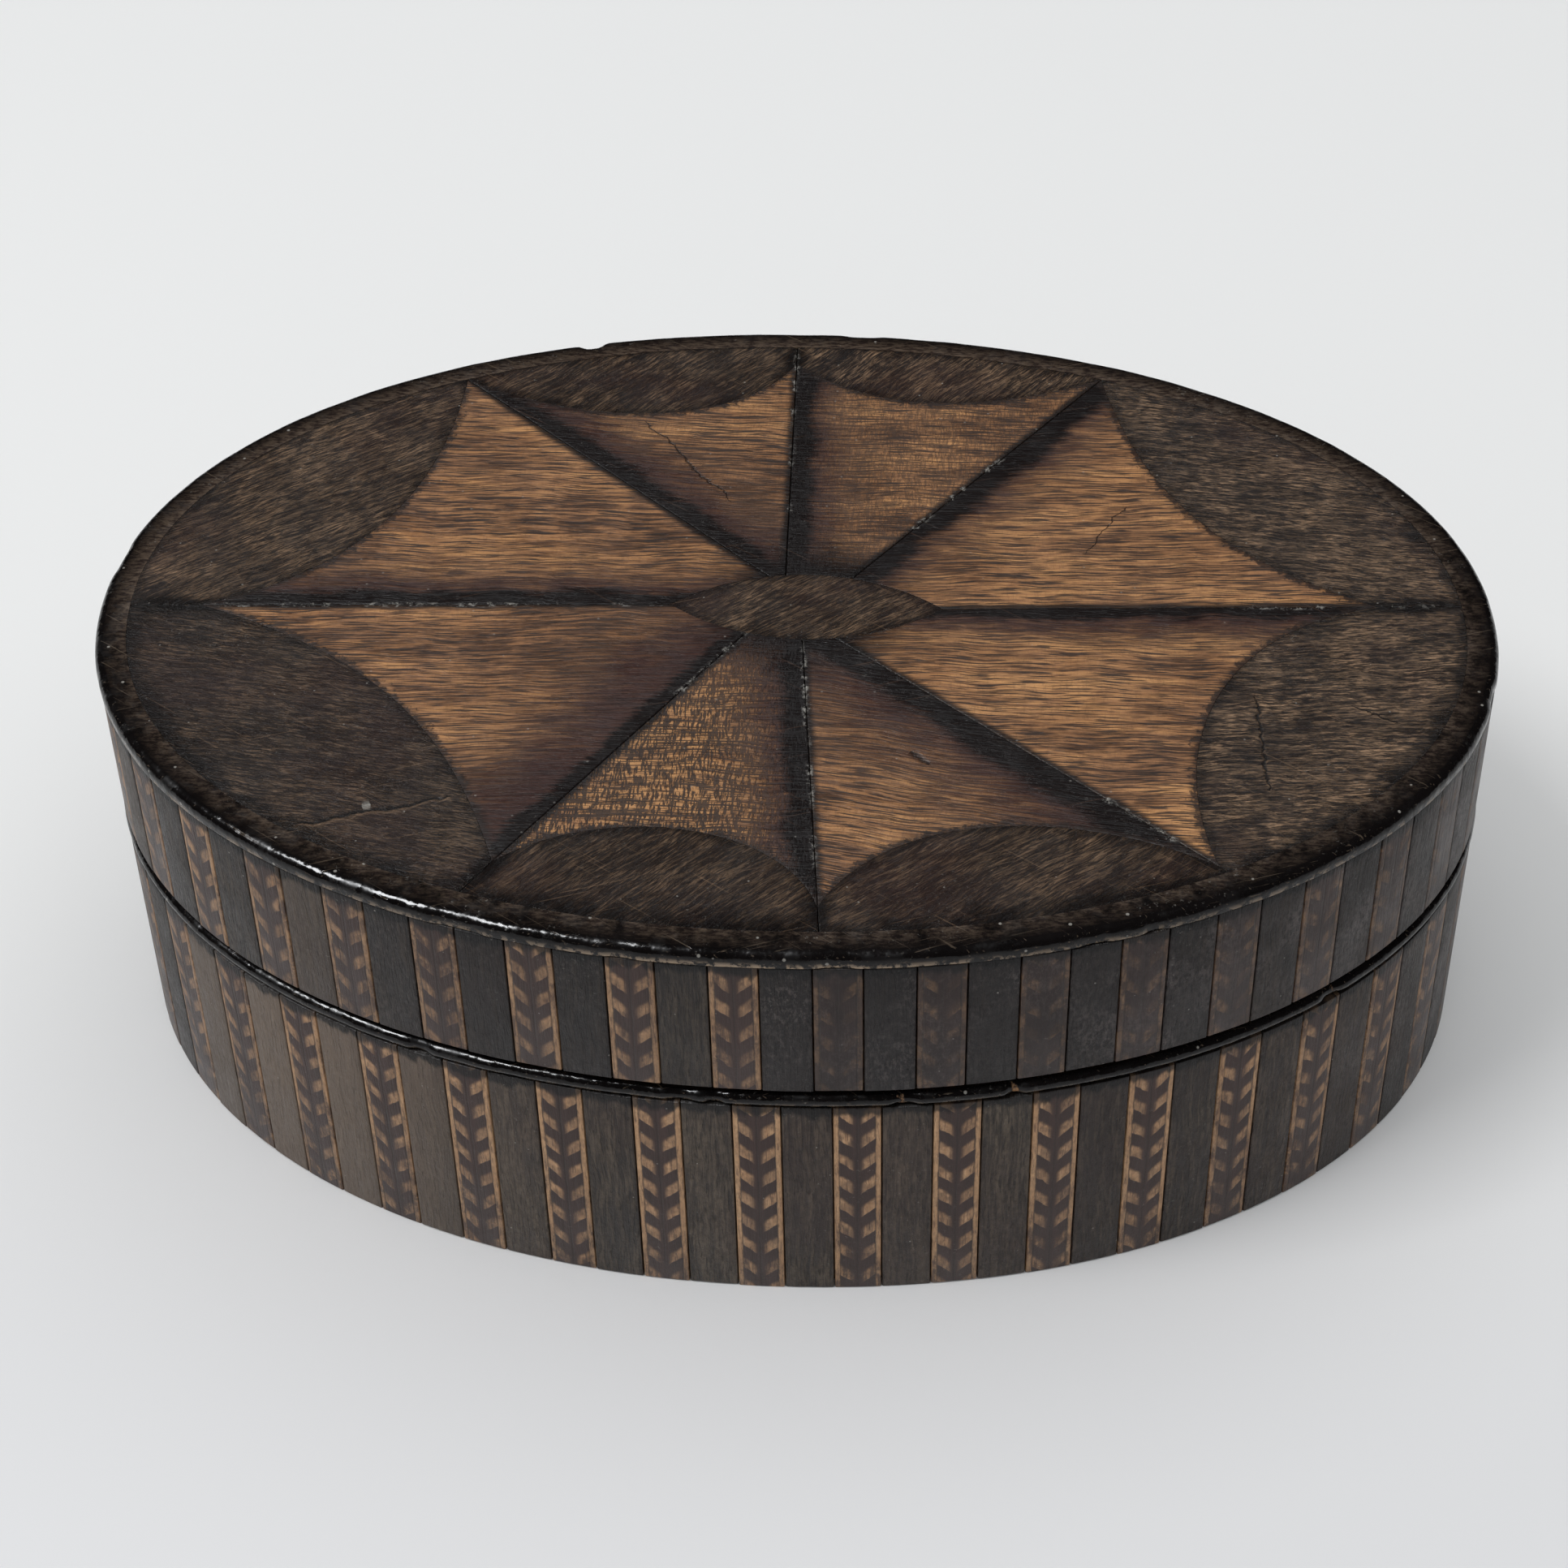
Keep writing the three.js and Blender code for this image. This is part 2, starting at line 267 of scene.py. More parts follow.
class InlaySizes(bpy.types.PropertyGroup):
    """Sizes of the fans, the rim lenses and the centre oval."""

    centre_x: length("Centre X", 1.0, "Place of the inlay's centre along the box")
    centre_y: length("Centre Y", 0.4, "Place of the inlay's centre across the box")
    oval_length: length("Centre Oval Length", 19.5, "Length of the pointed centre oval")
    oval_width: length("Centre Oval Width", 7.3, "Width of the pointed centre oval")
    hairline: length("Hairline", 0.035, "Half of the open joint between two panels")
    arris: length("Panel Arris", 0.12, "Softening of each panel's upper edge along the radial joints")
    tight: share("Tight Joints", 0.2, "How wide the curved joints are, as a share of the radial ones")
    unevenness: length("Unevenness", 0.03, "How far a panel's face rises and falls")
    handle: share("Lens Handle", 0.4, "Share of its chord that a lens's curve keeps to each end's angle")


class WearAmounts(bpy.types.PropertyGroup):
    """How worn and soiled the box is."""

    edging_ripple: length("Edging Ripple", 0.09, "How far the edgings' faces wander")
    strip_ripple: length("Strip Ripple", 0.05, "How far a strip sinks behind its neighbours")
    strip_end_ripple: length("Strip End Ripple", 0.08, "How far a strip's end stops short")
    dust: share("Dust", 0.5, "Pale specks on the dark woods")


class WoodColours(bpy.types.PropertyGroup):
    """Colours of the woods and of the old polish."""

    fan_light: colour("Fan Light", srgb(197, 145, 94), "Lightest streaks of the fans")
    fan_middle: colour("Fan Middle", srgb(152, 108, 72), "Common colour of the fans")
    fan_dark: colour("Fan Dark", srgb(88, 62, 45), "Dark streaks of the fans")
    scorch_warm: colour("Scorch Warm", srgb(60, 38, 36), "Sand shading where it fades out")
    scorch_black: colour("Scorch Black", srgb(20, 16, 16), "Sand shading at the joint")
    lens_light: colour("Lens Light", srgb(164, 132, 102), "Light strokes of the rim lenses")
    lens_middle: colour("Lens Middle", srgb(106, 85, 66), "Common colour of the rim lenses")
    lens_dark: colour("Lens Dark", srgb(44, 34, 30), "Dark streaks of the rim lenses")
    stave_light: colour("Stave Light", srgb(96, 84, 71), "Light fibres of the plain staves")
    stave_dark: colour("Stave Dark", srgb(44, 37, 33), "Dark fibres of the plain staves")
    # Painted sheen: the pale grey of the plain staves at the left end, where they catch the light.
    stave_sheen: colour("Stave Bleached", srgb(136, 118, 102), "Plain staves where light has paled them")
    string: colour("String", srgb(196, 157, 119), "Light strings and feathers")
    feather_dark: colour("Feather Dark", srgb(66, 49, 45), "Dark feathers")
    edging: colour("Edging", srgb(13, 11, 11), "Black edging")
    edging_worn: colour("Edging Worn", srgb(158, 138, 116), "Edging where the polish has gone")
    edging_brown: colour("Edging Brown", srgb(88, 74, 62), "Thin polish on the edging's flat top")
    raw: colour("Raw Wood", srgb(170, 128, 90), "Fresh wood in chips")
    inside: colour("Inside", srgb(146, 104, 70), "Plain wood inside the box")
    inside_dark: colour("Inside Dark", srgb(92, 60, 40), "Dark streaks of the plain wood")
    dust: colour("Dust", srgb(176, 172, 164), "Dust and pale flakes")
    # The light grime colour is also what the painted sheen on the right of the walls leans towards.
    grime: colour("Grime", srgb(102, 93, 90), "Light spots of the grey grime on the walls")
    grime_dark: colour("Grime Dark", srgb(24, 18, 20), "Dark spots of the grey grime on the walls")


class StudioSettings(bpy.types.PropertyGroup):
    """Camera, lights and floor."""

    floor_size: length("Floor Size", 3000, "Side of the floor")
    floor: colour("Floor", srgb(241, 241, 240), "Pale floor beside and behind the box")
    # Painted shade: the floor in front of the box is given a darker colour than the floor behind it.
    floor_front: colour("Floor Front", srgb(227, 227, 228), "Pale floor in front of the box")
    lens: FloatProperty(
        name="Lens", description="Focal length on a 36 mm sensor", default=76.2e-3, unit="CAMERA"
    )
    eye: FloatVectorProperty(
        name="Eye",
        description="Where the camera stands",
        default=(14.4 * MM, -184.3 * MM, 182.8 * MM),
        size=3,
        subtype="TRANSLATION",
    )
    aim: FloatVectorProperty(
        name="Aim",
        description="What the camera looks at",
        default=(-0.87 * MM, -0.07 * MM, 16.2 * MM),
        size=3,
        subtype="TRANSLATION",
    )
    roll: angle("Roll", -1.41, "Turn of the camera about its own axis")
    sky: FloatProperty(name="Sky", description="Strength of the even light", default=0.38)
    lamp: FloatProperty(name="Lamp", description="Power of the light above the left", default=6.0)
    ceiling: FloatProperty(name="Ceiling", description="Power of the broad light above", default=24.0)
    glint: FloatProperty(name="Glint", description="Power of the highlight on the edgings", default=10.0)


# Curves and surfaces


def oval_point(sizes, turn, inset):
    """Points of the oval, moved square to the wall by inset.

    x is half the length times cos(turn) to the power 2/p, y is half the width times sin(turn) to the
    power 2/p, each with its sign kept, and the wall's normal is the gradient of |x|^p + |y|^p.
    """
    power = sizes.oval_power
    x = np.sign(np.cos(turn)) * np.abs(np.cos(turn)) ** (2 / power)
    y = np.sign(np.sin(turn)) * np.abs(np.sin(turn)) ** (2 / power)
    normal_x = np.sign(x) * np.abs(x) ** (power - 1) / sizes.length
    normal_y = np.sign(y) * np.abs(y) ** (power - 1) / sizes.width
    size = np.hypot(normal_x, normal_y)
    return np.stack(
        [
            sizes.length / 2 * x - inset * normal_x / size,
            sizes.width / 2 * y - inset * normal_y / size,
        ],
        -1,
    )


def walk(sizes):
    """Turns round the oval from the middle of the front, and the distance walked to each."""
    turns = np.linspace(-TURN / 4, 3 * TURN / 4, WALK_STEPS + 1)
    steps = np.diff(oval_point(sizes, turns, 0), axis=0)
    return turns, np.concatenate([[0], np.cumsum(np.hypot(steps[:, 0], steps[:, 1]))])


def turn_at(sizes, distance):
    """Turn of the oval at a distance along the wall from the middle of the front."""
    turns, walked = walk(sizes)
    return np.interp(np.mod(distance, walked[-1]), walked, turns)


def along(curve, shares):
    """Points of a chain of points at shares of its length."""
    steps = np.diff(curve, axis=0)
    walked = np.concatenate([[0], np.cumsum(np.hypot(steps[:, 0], steps[:, 1]))])
    at = shares * walked[-1]
    return np.stack([np.interp(at, walked, curve[:, 0]), np.interp(at, walked, curve[:, 1])], -1)


def ripple(distance, whole, seed, slowest=5, fastest=90):
    """A wandering line between 0 and 1 that closes on itself after the whole distance.

    It is a sum of sine waves with whole numbers of waves round the oval, weaker as they get shorter.
    """
    random = np.random.default_rng(seed)
    waves = np.arange(slowest, fastest)
    phases = random.uniform(0, TURN, len(waves))
    strengths = random.uniform(0.3, 1, len(waves)) / waves**0.7
    line = (np.sin(np.multiply.outer(distance, waves) * TURN / whole + phases) * strengths).sum(-1)
    return (line - line.min()) / (line.max() - line.min())


def dented(distance, whole, dents):
    """Depth of the dents at a distance: each is its depth times a bell curve of its reach."""
    depth = np.zeros_like(distance)
    for place, reach, deepest in np.array(dents) * MM:
        away = np.mod(distance - place + whole / 2, whole) - whole / 2
        depth = np.maximum(depth, deepest * np.exp(-((away / reach) ** 4)))
    return depth


def corner(inset, height, radius, start, end, steps=6):
    """Part of a circle in a profile, in degrees, where 0 faces outwards and 90 up."""
    turn = np.radians(np.linspace(start, end, steps))
    return np.stack([inset - radius * np.cos(turn), height + radius * np.sin(turn)], -1)


def grid_faces(rows, columns, closed_rows=False, closed_columns=False):
    """Four-sided faces between the points of a grid, numbered row by row."""
    row = np.arange(rows if closed_rows else rows - 1)[:, None]
    column = np.arange(columns if closed_columns else columns - 1)[None, :]
    next_row = (row + 1) % rows * columns
    next_column = (column + 1) % columns
    row = row * columns
    corners = [row + column, row + next_column, next_row + next_column, next_row + column]
    return np.stack(np.broadcast_arrays(*corners), -1).reshape(-1, 4)


def swelled_curve(start, end, swell, handle):
    """A cubic curve between two points that swells to the left, and leaves each end at a set angle."""
    chord = (end - start) * handle
    first, last = (radians(degrees) for degrees in swell)
    x, y = chord
    leave = np.array([x * cos(first) - y * sin(first), x * sin(first) + y * cos(first)])
    arrive = np.array([x * cos(last) + y * sin(last), y * cos(last) - x * sin(last)])
    t = np.linspace(0, 1, CURVE_STEPS)[:, None]
    near_start = start + leave
    near_end = end - arrive
    return (
        (1 - t) ** 3 * start
        + 3 * (1 - t) ** 2 * t * near_start
        + 3 * (1 - t) * t**2 * near_end
        + t**3 * end
    )


# Mesh pieces


def make_piece(name, points, faces, wood, body, nodes, values=None):
    """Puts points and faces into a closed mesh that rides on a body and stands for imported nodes.

    values holds one number for each point under each attribute's name.
    """
    mesh = bpy.data.meshes.new(name)
    mesh.from_pydata(points.reshape(-1, 3), [], faces)
    for label, numbers in (values or {}).items():
        attribute = mesh.attributes.new(label, "FLOAT", "POINT")
        attribute.data.foreach_set("value", np.ascontiguousarray(numbers, np.float32).ravel())
    shell = bmesh.new()
    shell.from_mesh(mesh)
    bmesh.ops.remove_doubles(shell, verts=shell.verts, dist=MERGED)
    bmesh.ops.recalc_face_normals(shell, faces=shell.faces)
    shell.to_mesh(mesh)
    shell.free()
    mesh.shade_smooth()
    mesh.set_sharp_from_angle(angle=radians(CREASE))
    mesh.materials.append(bpy.data.materials[wood])
    piece = bpy.data.objects.new(name, mesh)
    bpy.context.scene.collection.objects.link(piece)
    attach(piece, body)
    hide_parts(*nodes)


def ring(sizes, profile, stations, sink=0, drop=0):
    """A closed ring: a profile of insets and heights carried round the oval.

    sink and drop move each station's profile inwards and down.
    """
    distance = np.linspace(0, walk(sizes)[1][-1], stations, endpoint=False)[:, None]
    inset = profile[None, :, 0] + sink
    height = profile[None, :, 1] - drop
    flat = oval_point(sizes, turn_at(sizes, distance), inset)
    height = np.broadcast_to(height, flat.shape[:2])
    faces = grid_faces(*flat.shape[:2], True, True).tolist()
    return np.concatenate([flat, height[..., None]], -1), faces


def strip_blocks(sizes, wear, shift, node, width, offset, seed):
    """Blocks of veneer that stand side by side round the wall, each a closed shell.

    A block's section runs along its outer face, round both softened edges and back along its inner
    face. The section is carried up the block, and is drawn in at the foot and the top by the same
    softening. Returns points, faces, the blocks' middles and each point's place across its block.
    """
    random = np.random.default_rng(seed)
    low, high = heights(node)
    arris = sizes.arris
    half = (width - sizes.joint_gap) / 2
    # Three points of a quarter circle
    ease_along = arris * np.array([0, 0.3, 1])
    ease_in = arris * np.array([1, 0.29, 0])
    face = np.linspace(arris - half, half - arris, 5)[1:-1]
    across = np.concatenate([ease_along - half, face, half - ease_along[::-1], [half, 0, -half]])
    depth = np.concatenate([ease_in, 0 * face, ease_in[::-1]])
    outer = len(depth)
    rise = np.concatenate([ease_along, -ease_along[::-1]])
    draw = np.concatenate([ease_in, ease_in[::-1]])

    count = sizes.stripe_pairs
    centres = shift + offset + walk(sizes)[1][-1] * np.arange(count) / count
    sunk = random.uniform(0, wear.strip_ripple, (count, 1, 1))
    short = random.uniform(0, wear.strip_end_ripple, (count, 2))
    inset = np.full((count, len(rise), len(across)), sizes.veneer)
    inset[:, :, :outer] = np.hypot(depth[None, None, :], draw[None, :, None]) + sunk
    ends = np.repeat(np.stack([low + short[:, 0], high - short[:, 1]], 1), len(ease_along), 1)
    height = np.broadcast_to((ends + rise)[:, :, None], inset.shape)
    flat = oval_point(sizes, turn_at(sizes, centres[:, None, None] + across), inset)
    points = np.concatenate([flat, height[..., None]], -1)

    one = len(rise) * len(across)
    starts = np.arange(count)[:, None] * one
    sides = grid_faces(len(rise), len(across), closed_columns=True)
    foot = starts + np.arange(len(across))
    faces = (starts[:, :, None] + sides[None]).reshape(-1, 4).tolist()
    faces += foot.tolist() + (foot + one - len(across)).tolist()
    return points, faces, centres, np.broadcast_to(across / MM, inset.shape)


def ruled_panel(inner, outer, inlay, bottom, top, seed):
    """A flat panel between two curves, with softened upper edges and a slightly uneven face.

    A point at (s, t) lies at share s of the straight line from the inner curve to the outer one, both
    taken at share t of their lengths. The outermost rows stand in from the border by the hairline.
    The face drops at the border by a quarter circle and rises and falls by a product of slow sines.
    """
    border = np.array([0, 0.3, 0.65, 1])
    fall = inlay.arris * (1 - np.sqrt(1 - (1 - border) ** 2))

    def spaced(lengths, openness):
        """Shares along lines of these lengths: the border's rows, then even steps between them."""
        reach = (inlay.hairline + inlay.arris * border) * openness
        edge = np.minimum(reach / np.maximum(lengths, 1e-9), 0.3 * reach / reach[-1])
        middle = edge[:, -1:] + (1 - 2 * edge[:, -1:]) * np.linspace(0, 1, PANEL_STEPS)[1:-1]
        return np.concatenate([edge, middle, 1 - edge[:, ::-1]], 1)

    count = PANEL_STEPS - 2 + 2 * len(border)
    even = np.linspace(0, 1, count)
    column_lengths = np.linalg.norm(along(outer, even) - along(inner, even), axis=1)[:, None]
    left = inner[0] + (outer[0] - inner[0]) * even[:, None]
    right = inner[-1] + (outer[-1] - inner[-1]) * even[:, None]
    row_lengths = np.linalg.norm(right - left, axis=1)[:, None]
    t = spaced(row_lengths, 1)
    s = spaced(column_lengths, inlay.tight).T
    flat = along(inner, t) * (1 - s[..., None]) + along(outer, t) * s[..., None]
    drop = np.concatenate([fall, np.zeros(PANEL_STEPS - 2), fall[::-1]])
    phase = np.random.default_rng(seed).uniform(0, TURN, 4)
    waves = TURN / np.array([SHORT_WAVE, LONG_WAVE])
    x, y = flat[..., 0], flat[..., 1]
    sway = np.sin(x * waves[0] + phase[0]) * np.sin(y * waves[1] + phase[1])
    fine = np.sin(x * waves[1] * 2.3 + phase[2]) * np.sin(y * waves[0] * 2.1 + phase[3])
    height = top - np.minimum(drop[:, None] * inlay.tight + drop[None, :], inlay.arris)
    height -= inlay.unevenness * (1 + 0.7 * sway + 0.3 * fine) / 2
    face = np.concatenate([flat, height[..., None]], -1)

    number = np.arange(count * count).reshape(count, count)
    rim = np.concatenate([number[0, :-1], number[:-1, -1], number[-1, :0:-1], number[:0:-1, 0]])
    foot = face.reshape(-1, 3)[rim].copy()
    foot[:, 2] = bottom
    below = count * count + np.arange(len(rim))
    sides = np.stack([rim, np.roll(rim, -1), np.roll(below, -1), below], -1)
    faces = grid_faces(count, count).tolist() + sides.tolist() + [below.tolist()]
    return np.concatenate([face.reshape(-1, 3), foot]), faces


def distance_to(points, curve):
    """Distance of each point to a chain of points, in millimetres."""
    fine = along(curve, np.linspace(0, 1, 2 * CURVE_STEPS))
    return np.linalg.norm(points[:, None, :2] - fine[None], axis=2).min(1) / MM


def distance_to_line(points, start, end):
    """Distance of each point to the straight line through two points, in millimetres."""
    ahead = (end - start) / np.linalg.norm(end - start)
    away = points[:, :2] - start
    return np.abs(away[:, 0] * ahead[1] - away[:, 1] * ahead[0]) / MM


def after(i):
    """Number of the next sector, counter-clockwise."""
    return (i + 1) % len(SECTORS)


class Inlay:
    """The curves that the inlaid top is cut to."""

    def __init__(self, sizes, inlay):
        self.inlay = inlay
        self.centre = np.array([inlay.centre_x, inlay.centre_y])
        turns = np.linspace(0, TURN, WALK_STEPS, endpoint=False)
        self.rim = oval_point(sizes, turns, sizes.top_edging_width)
        around = self.rim - self.centre
        self.rim_headings = np.arctan2(around[:, 1], around[:, 0])
        self.starts = [self.oval_edge(radians(sector.leaves)) for sector in SECTORS]
        self.ends = [self.rim_point(radians(sector.ends)) for sector in SECTORS]
        self.tips = [self.tip(*joint) for joint in zip(self.starts, self.ends, SECTORS)]

    def oval_edge(self, heading):
        """Point of the pointed oval's edge: two arcs of one radius, which meet at its two points."""
        half_length = self.inlay.oval_length / 2
        half_width = self.inlay.oval_width / 2
        radius = (half_length**2 + half_width**2) / (2 * half_width)
        drop = (radius - half_width) * np.abs(np.sin(heading - radians(EAST_JOINT)))
        reach = np.hypot(drop, half_length) - drop
        return self.centre + np.stack([reach * np.cos(heading), reach * np.sin(heading)], -1)

    def rim_point(self, heading):
        """Point of the edging's inner side at a heading from the centre."""
        order = np.argsort(self.rim_headings)
        x, y = self.rim[order].T
        headings = self.rim_headings[order]
        return np.array([np.interp(heading, headings, line, period=TURN) for line in (x, y)])

    def tip(self, start, end, sector):
        """Where the lens tips meet on a joint."""
        return end + (start - end) * (sector.tip * MM) / np.linalg.norm(end - start)

    def headings(self, first, last):
        """Evenly spaced headings counter-clockwise from one to another, which are given in degrees."""
        span = (last - first) % 360
        return np.radians(first + np.linspace(0, span, CURVE_STEPS))

    def lens_curve(self, i):
        """The curve between a sector's fan and its lens."""
        return swelled_curve(self.tips[i], self.tips[after(i)], SECTORS[i].swell, self.inlay.handle)

    def fan_curves(self, i):
        """Inner and outer curve of a fan."""
        headings = self.headings(SECTORS[i].leaves, SECTORS[after(i)].leaves)
        return self.oval_edge(headings), self.lens_curve(i)

    def lens_curves(self, i):
        """Inner and outer curve of a lens."""
        headings = self.headings(SECTORS[i].ends, SECTORS[after(i)].ends)
        return self.lens_curve(i), np.stack([self.rim_point(heading) for heading in headings])

    def oval_curves(self):
        """Front and back curve of the centre oval."""
        front = self.oval_edge(self.headings(EAST_JOINT + 180, EAST_JOINT + 360))
        back = self.oval_edge(self.headings(EAST_JOINT, EAST_JOINT + 180))[::-1]
        return front, back


# Shader nodes


class Value:
    """What a socket gives, so that shader sums and products are written as such."""

    def __init__(self, shading, socket):
        self.shading = shading
        self.socket = socket

    def __add__(self, other):
        return self.shading.math("ADD", self, other)

    def __sub__(self, other):
        return self.shading.math("SUBTRACT", self, other)

    def __rsub__(self, other):
        return self.shading.math("SUBTRACT", other, self)

    def __mul__(self, other):
        return self.shading.math("MULTIPLY", self, other)

    def __truediv__(self, other):
        return self.shading.math("DIVIDE", self, other)

    def __rtruediv__(self, other):
        return self.shading.math("DIVIDE", other, self)


class Shading:
    """Adds nodes to a node tree. Places and vectors are in millimetres."""

    def __init__(self, tree):
        self.tree = tree

    def node(self, kind, feeds=None, **settings):
        """A new node with its settings, and with something fed to some of its inputs."""
        row, column = divmod(len(self.tree.nodes), NODE_COLUMNS)
        made = self.tree.nodes.new(kind)
        made.location = (column * NODE_WIDTH, -row * NODE_HEIGHT)
        for name, setting in settings.items():
            setattr(made, name, setting)
        for socket, value in (feeds or {}).items():
            self.feed(made.inputs[socket], value)
        return made

    def feed(self, socket, value):
        """Links a value to an input, or sets the input to a number, a vector or a colour."""
        if isinstance(value, Value):
            self.tree.links.new(value.socket, socket)
        else:
            socket.default_value = value

    def made(self, kind, feeds=None, output=0, **settings):
        """What one output of a new node gives."""
        return Value(self, self.node(kind, feeds, **settings).outputs[output])

    def outputs(self, node):
        """What each output of a node gives, by its name in small letters."""
        values = {output.name.lower().replace(" ", "_"): Value(self, output) for output in node.outputs}
        return SimpleNamespace(**values)

    def math(self, operation, *values):
        """What an operation on numbers gives."""
        return self.made("ShaderNodeMath", dict(enumerate(values)), operation=operation)

    def vector(self, operation, *values, output=0):
        """What an operation on vectors gives, as a vector, or as a number with output 1."""
        return self.made("ShaderNodeVectorMath", dict(enumerate(values)), output, operation=operation)

    def scaled(self, vector, along, across, up):
        """The vector stretched by three factors."""
        return self.vector("MULTIPLY", vector, (along, across, up))

    def turned(self, vector, turn):
        """The vector turned about Z."""
        feeds = {"Vector": vector, "Angle": turn}
        return self.made("ShaderNodeVectorRotate", feeds, rotation_type="Z_AXIS")

    def parts(self, vector):
        """The three numbers of a vector, as x, y and z."""
        return self.outputs(self.node("ShaderNodeSeparateXYZ", {0: vector}))

    def joined(self, *parts):
        """A vector of three numbers."""
        return self.made("ShaderNodeCombineXYZ", dict(enumerate(parts)))

    def most(self, value, *others):
        """The greatest of several values."""
        for other in others:
            value = self.math("MAXIMUM", value, other)
        return value

    def ease(self, value, low, high):
        """0 below low, 1 above high, and a smooth step between; low may be the larger of the two."""
        feeds = {"Value": value, "From Min": low, "From Max": high}
        return self.made("ShaderNodeMapRange", feeds, interpolation_type="SMOOTHSTEP")

    def noise(self, vector, scale, detail=3, roughness=0.55, distortion=0):
        """Soft noise between 0 and 1."""
        feeds = {
            "Vector": vector,
            "Scale": scale,
            "Detail": detail,
            "Roughness": roughness,
            "Distortion": distortion,
        }
        return self.made("ShaderNodeTexNoise", feeds, "Fac")

    def wander(self, reach, *noise):
        """A noise round 0 that goes half of reach either way at the most."""
        return (self.noise(*noise) - 0.5) * reach

    def blend(self, amount, first, second):
        """The first colour with this amount of the second."""
        feeds = {0: amount, 6: opaque(first), 7: opaque(second)}
        return self.made("ShaderNodeMix", feeds, 2, data_type="RGBA")

    def coats(self, colour, *coats):
        """A colour under coats, each given as its own colour and where it covers."""
        for coat, cover in coats:
            colour = self.blend(cover, colour, coat)
        return colour

    def attribute(self, name):
        """A value that the mesh holds for each of its points."""
        return self.made("ShaderNodeAttribute", None, "Fac", attribute_name=name)

    def place(self):
        """Place on the object."""
        return self.scaled(self.made("ShaderNodeTexCoord", None, "Object"), 1 / MM, 1 / MM, 1 / MM)

    def group(self, name, **feeds):
        """What a node group gives, once its inputs are fed."""
        made = self.node("ShaderNodeGroup", node_tree=bpy.data.node_groups[name])
        for label, value in feeds.items():
            self.feed(made.inputs[titled(label)], value)
        return self.outputs(made)


class Group(Shading):
    """Adds nodes to a new node group. given holds what its inputs give."""

    def __init__(self, name, **inputs):
        super().__init__(bpy.data.node_groups.new(name, "ShaderNodeTree"))
        for label, default in inputs.items():
            kind = "NodeSocketVector" if isinstance(default, tuple) else "NodeSocketFloat"
            socket = self.tree.interface.new_socket(titled(label), in_out="INPUT", socket_type=kind)
            socket.default_value = default
        self.given = self.outputs(self.node("NodeGroupInput"))

    def give(self, **results):
        """Makes the group's outputs and feeds them."""
        feeds = {titled(label): value for label, value in results.items()}
        for title in feeds:
            self.tree.interface.new_socket(title, in_out="OUTPUT", socket_type="NodeSocketFloat")
        self.node("NodeGroupOutput", feeds)


class Surface(Shading):
    """Adds nodes to a new material that has one Principled BSDF."""

    def __init__(self, name):
        material = bpy.data.materials.new(name)
        material.use_nodes = True
        material.node_tree.nodes.clear()
        super().__init__(material.node_tree)
        self.shader = self.node("ShaderNodeBsdfPrincipled")
        self.node("ShaderNodeOutputMaterial", {"Surface": Value(self, self.shader.outputs[0])})

    def finish(self, colour, roughness, specular=0.5):
        """Feeds the colour, the roughness and how strongly the surface mirrors."""
        self.feed(self.shader.inputs["Base Color"], colour)
        self.feed(self.shader.inputs["Roughness"], roughness)
        self.feed(self.shader.inputs["Specular IOR Level"], specular)

    def relief(self, height, depth):
        """A bump of a height from 0 to 1, this deep."""
        bump = self.made("ShaderNodeBump", {"Height": height, "Distance": depth, "Strength": 1.0})
        self.feed(self.shader.inputs["Normal"], bump)


def titled(label):
    """The title of a socket or a group of settings, such as Speck Size for speck_size."""
    return label.replace("_", " ").title()


def opaque(colour):
    """A colour with full cover, or the value that gives one."""
    return colour if isinstance(colour, Value) else (*colour, 1)


def make_grain_group():
    """Grain that runs along X, turned and shifted: slow streaks, fine fibres, short pores and lines."""
    s = Group(
        "wood_grain",
        place=(0.0, 0.0, 0.0),
        turn=0.0,
        seed=0.0,
        wave=1.0,
        streak_width=2.5,
        pore_length=1.1,
        pore_width=0.13,
        pore_share=0.5,
        fibre_length=3.6,
        line_length=6.0,
    )
    seed = s.given.seed
    shift = s.scaled(s.joined(seed, seed, seed), 17.3, 31.7, 5.1)
    shifted = s.vector("ADD", s.turned(s.given.place, s.given.turn), shift)
    sway = s.wander(s.given.wave, shifted, 0.11, 2)
    bent = s.vector("ADD", shifted, s.joined(0.0, sway, 0.0))

    def drawn_out(along, across, *texture):
        """A noise whose spots are this long and wide."""
        return s.noise(s.vector("DIVIDE", bent, s.joined(along, across, across)), *texture)

    narrow = 1.0 / s.given.streak_width
    streaks = s.noise(s.vector("MULTIPLY", bent, s.joined(narrow * 0.1, narrow, narrow)), 1, 6, 0.62)
    fibres = drawn_out(s.given.fibre_length, 0.24, 1, 4, 0.7)
    pores = drawn_out(s.given.pore_length, s.given.pore_width, 0.7, 2, 0.5)
    lines = drawn_out(s.given.line_length, 0.34, 1, 4, 0.75, 0.3)
    least = 0.72 - s.given.pore_share * 0.3
    s.give(
        streaks=s.ease(streaks, 0.28, 0.72),
        fibres=s.ease(fibres, 0.36, 0.62),
        pores=s.ease(pores, least, least + 0.07),
        lines=s.ease(lines, 0.52, 0.58),
    )


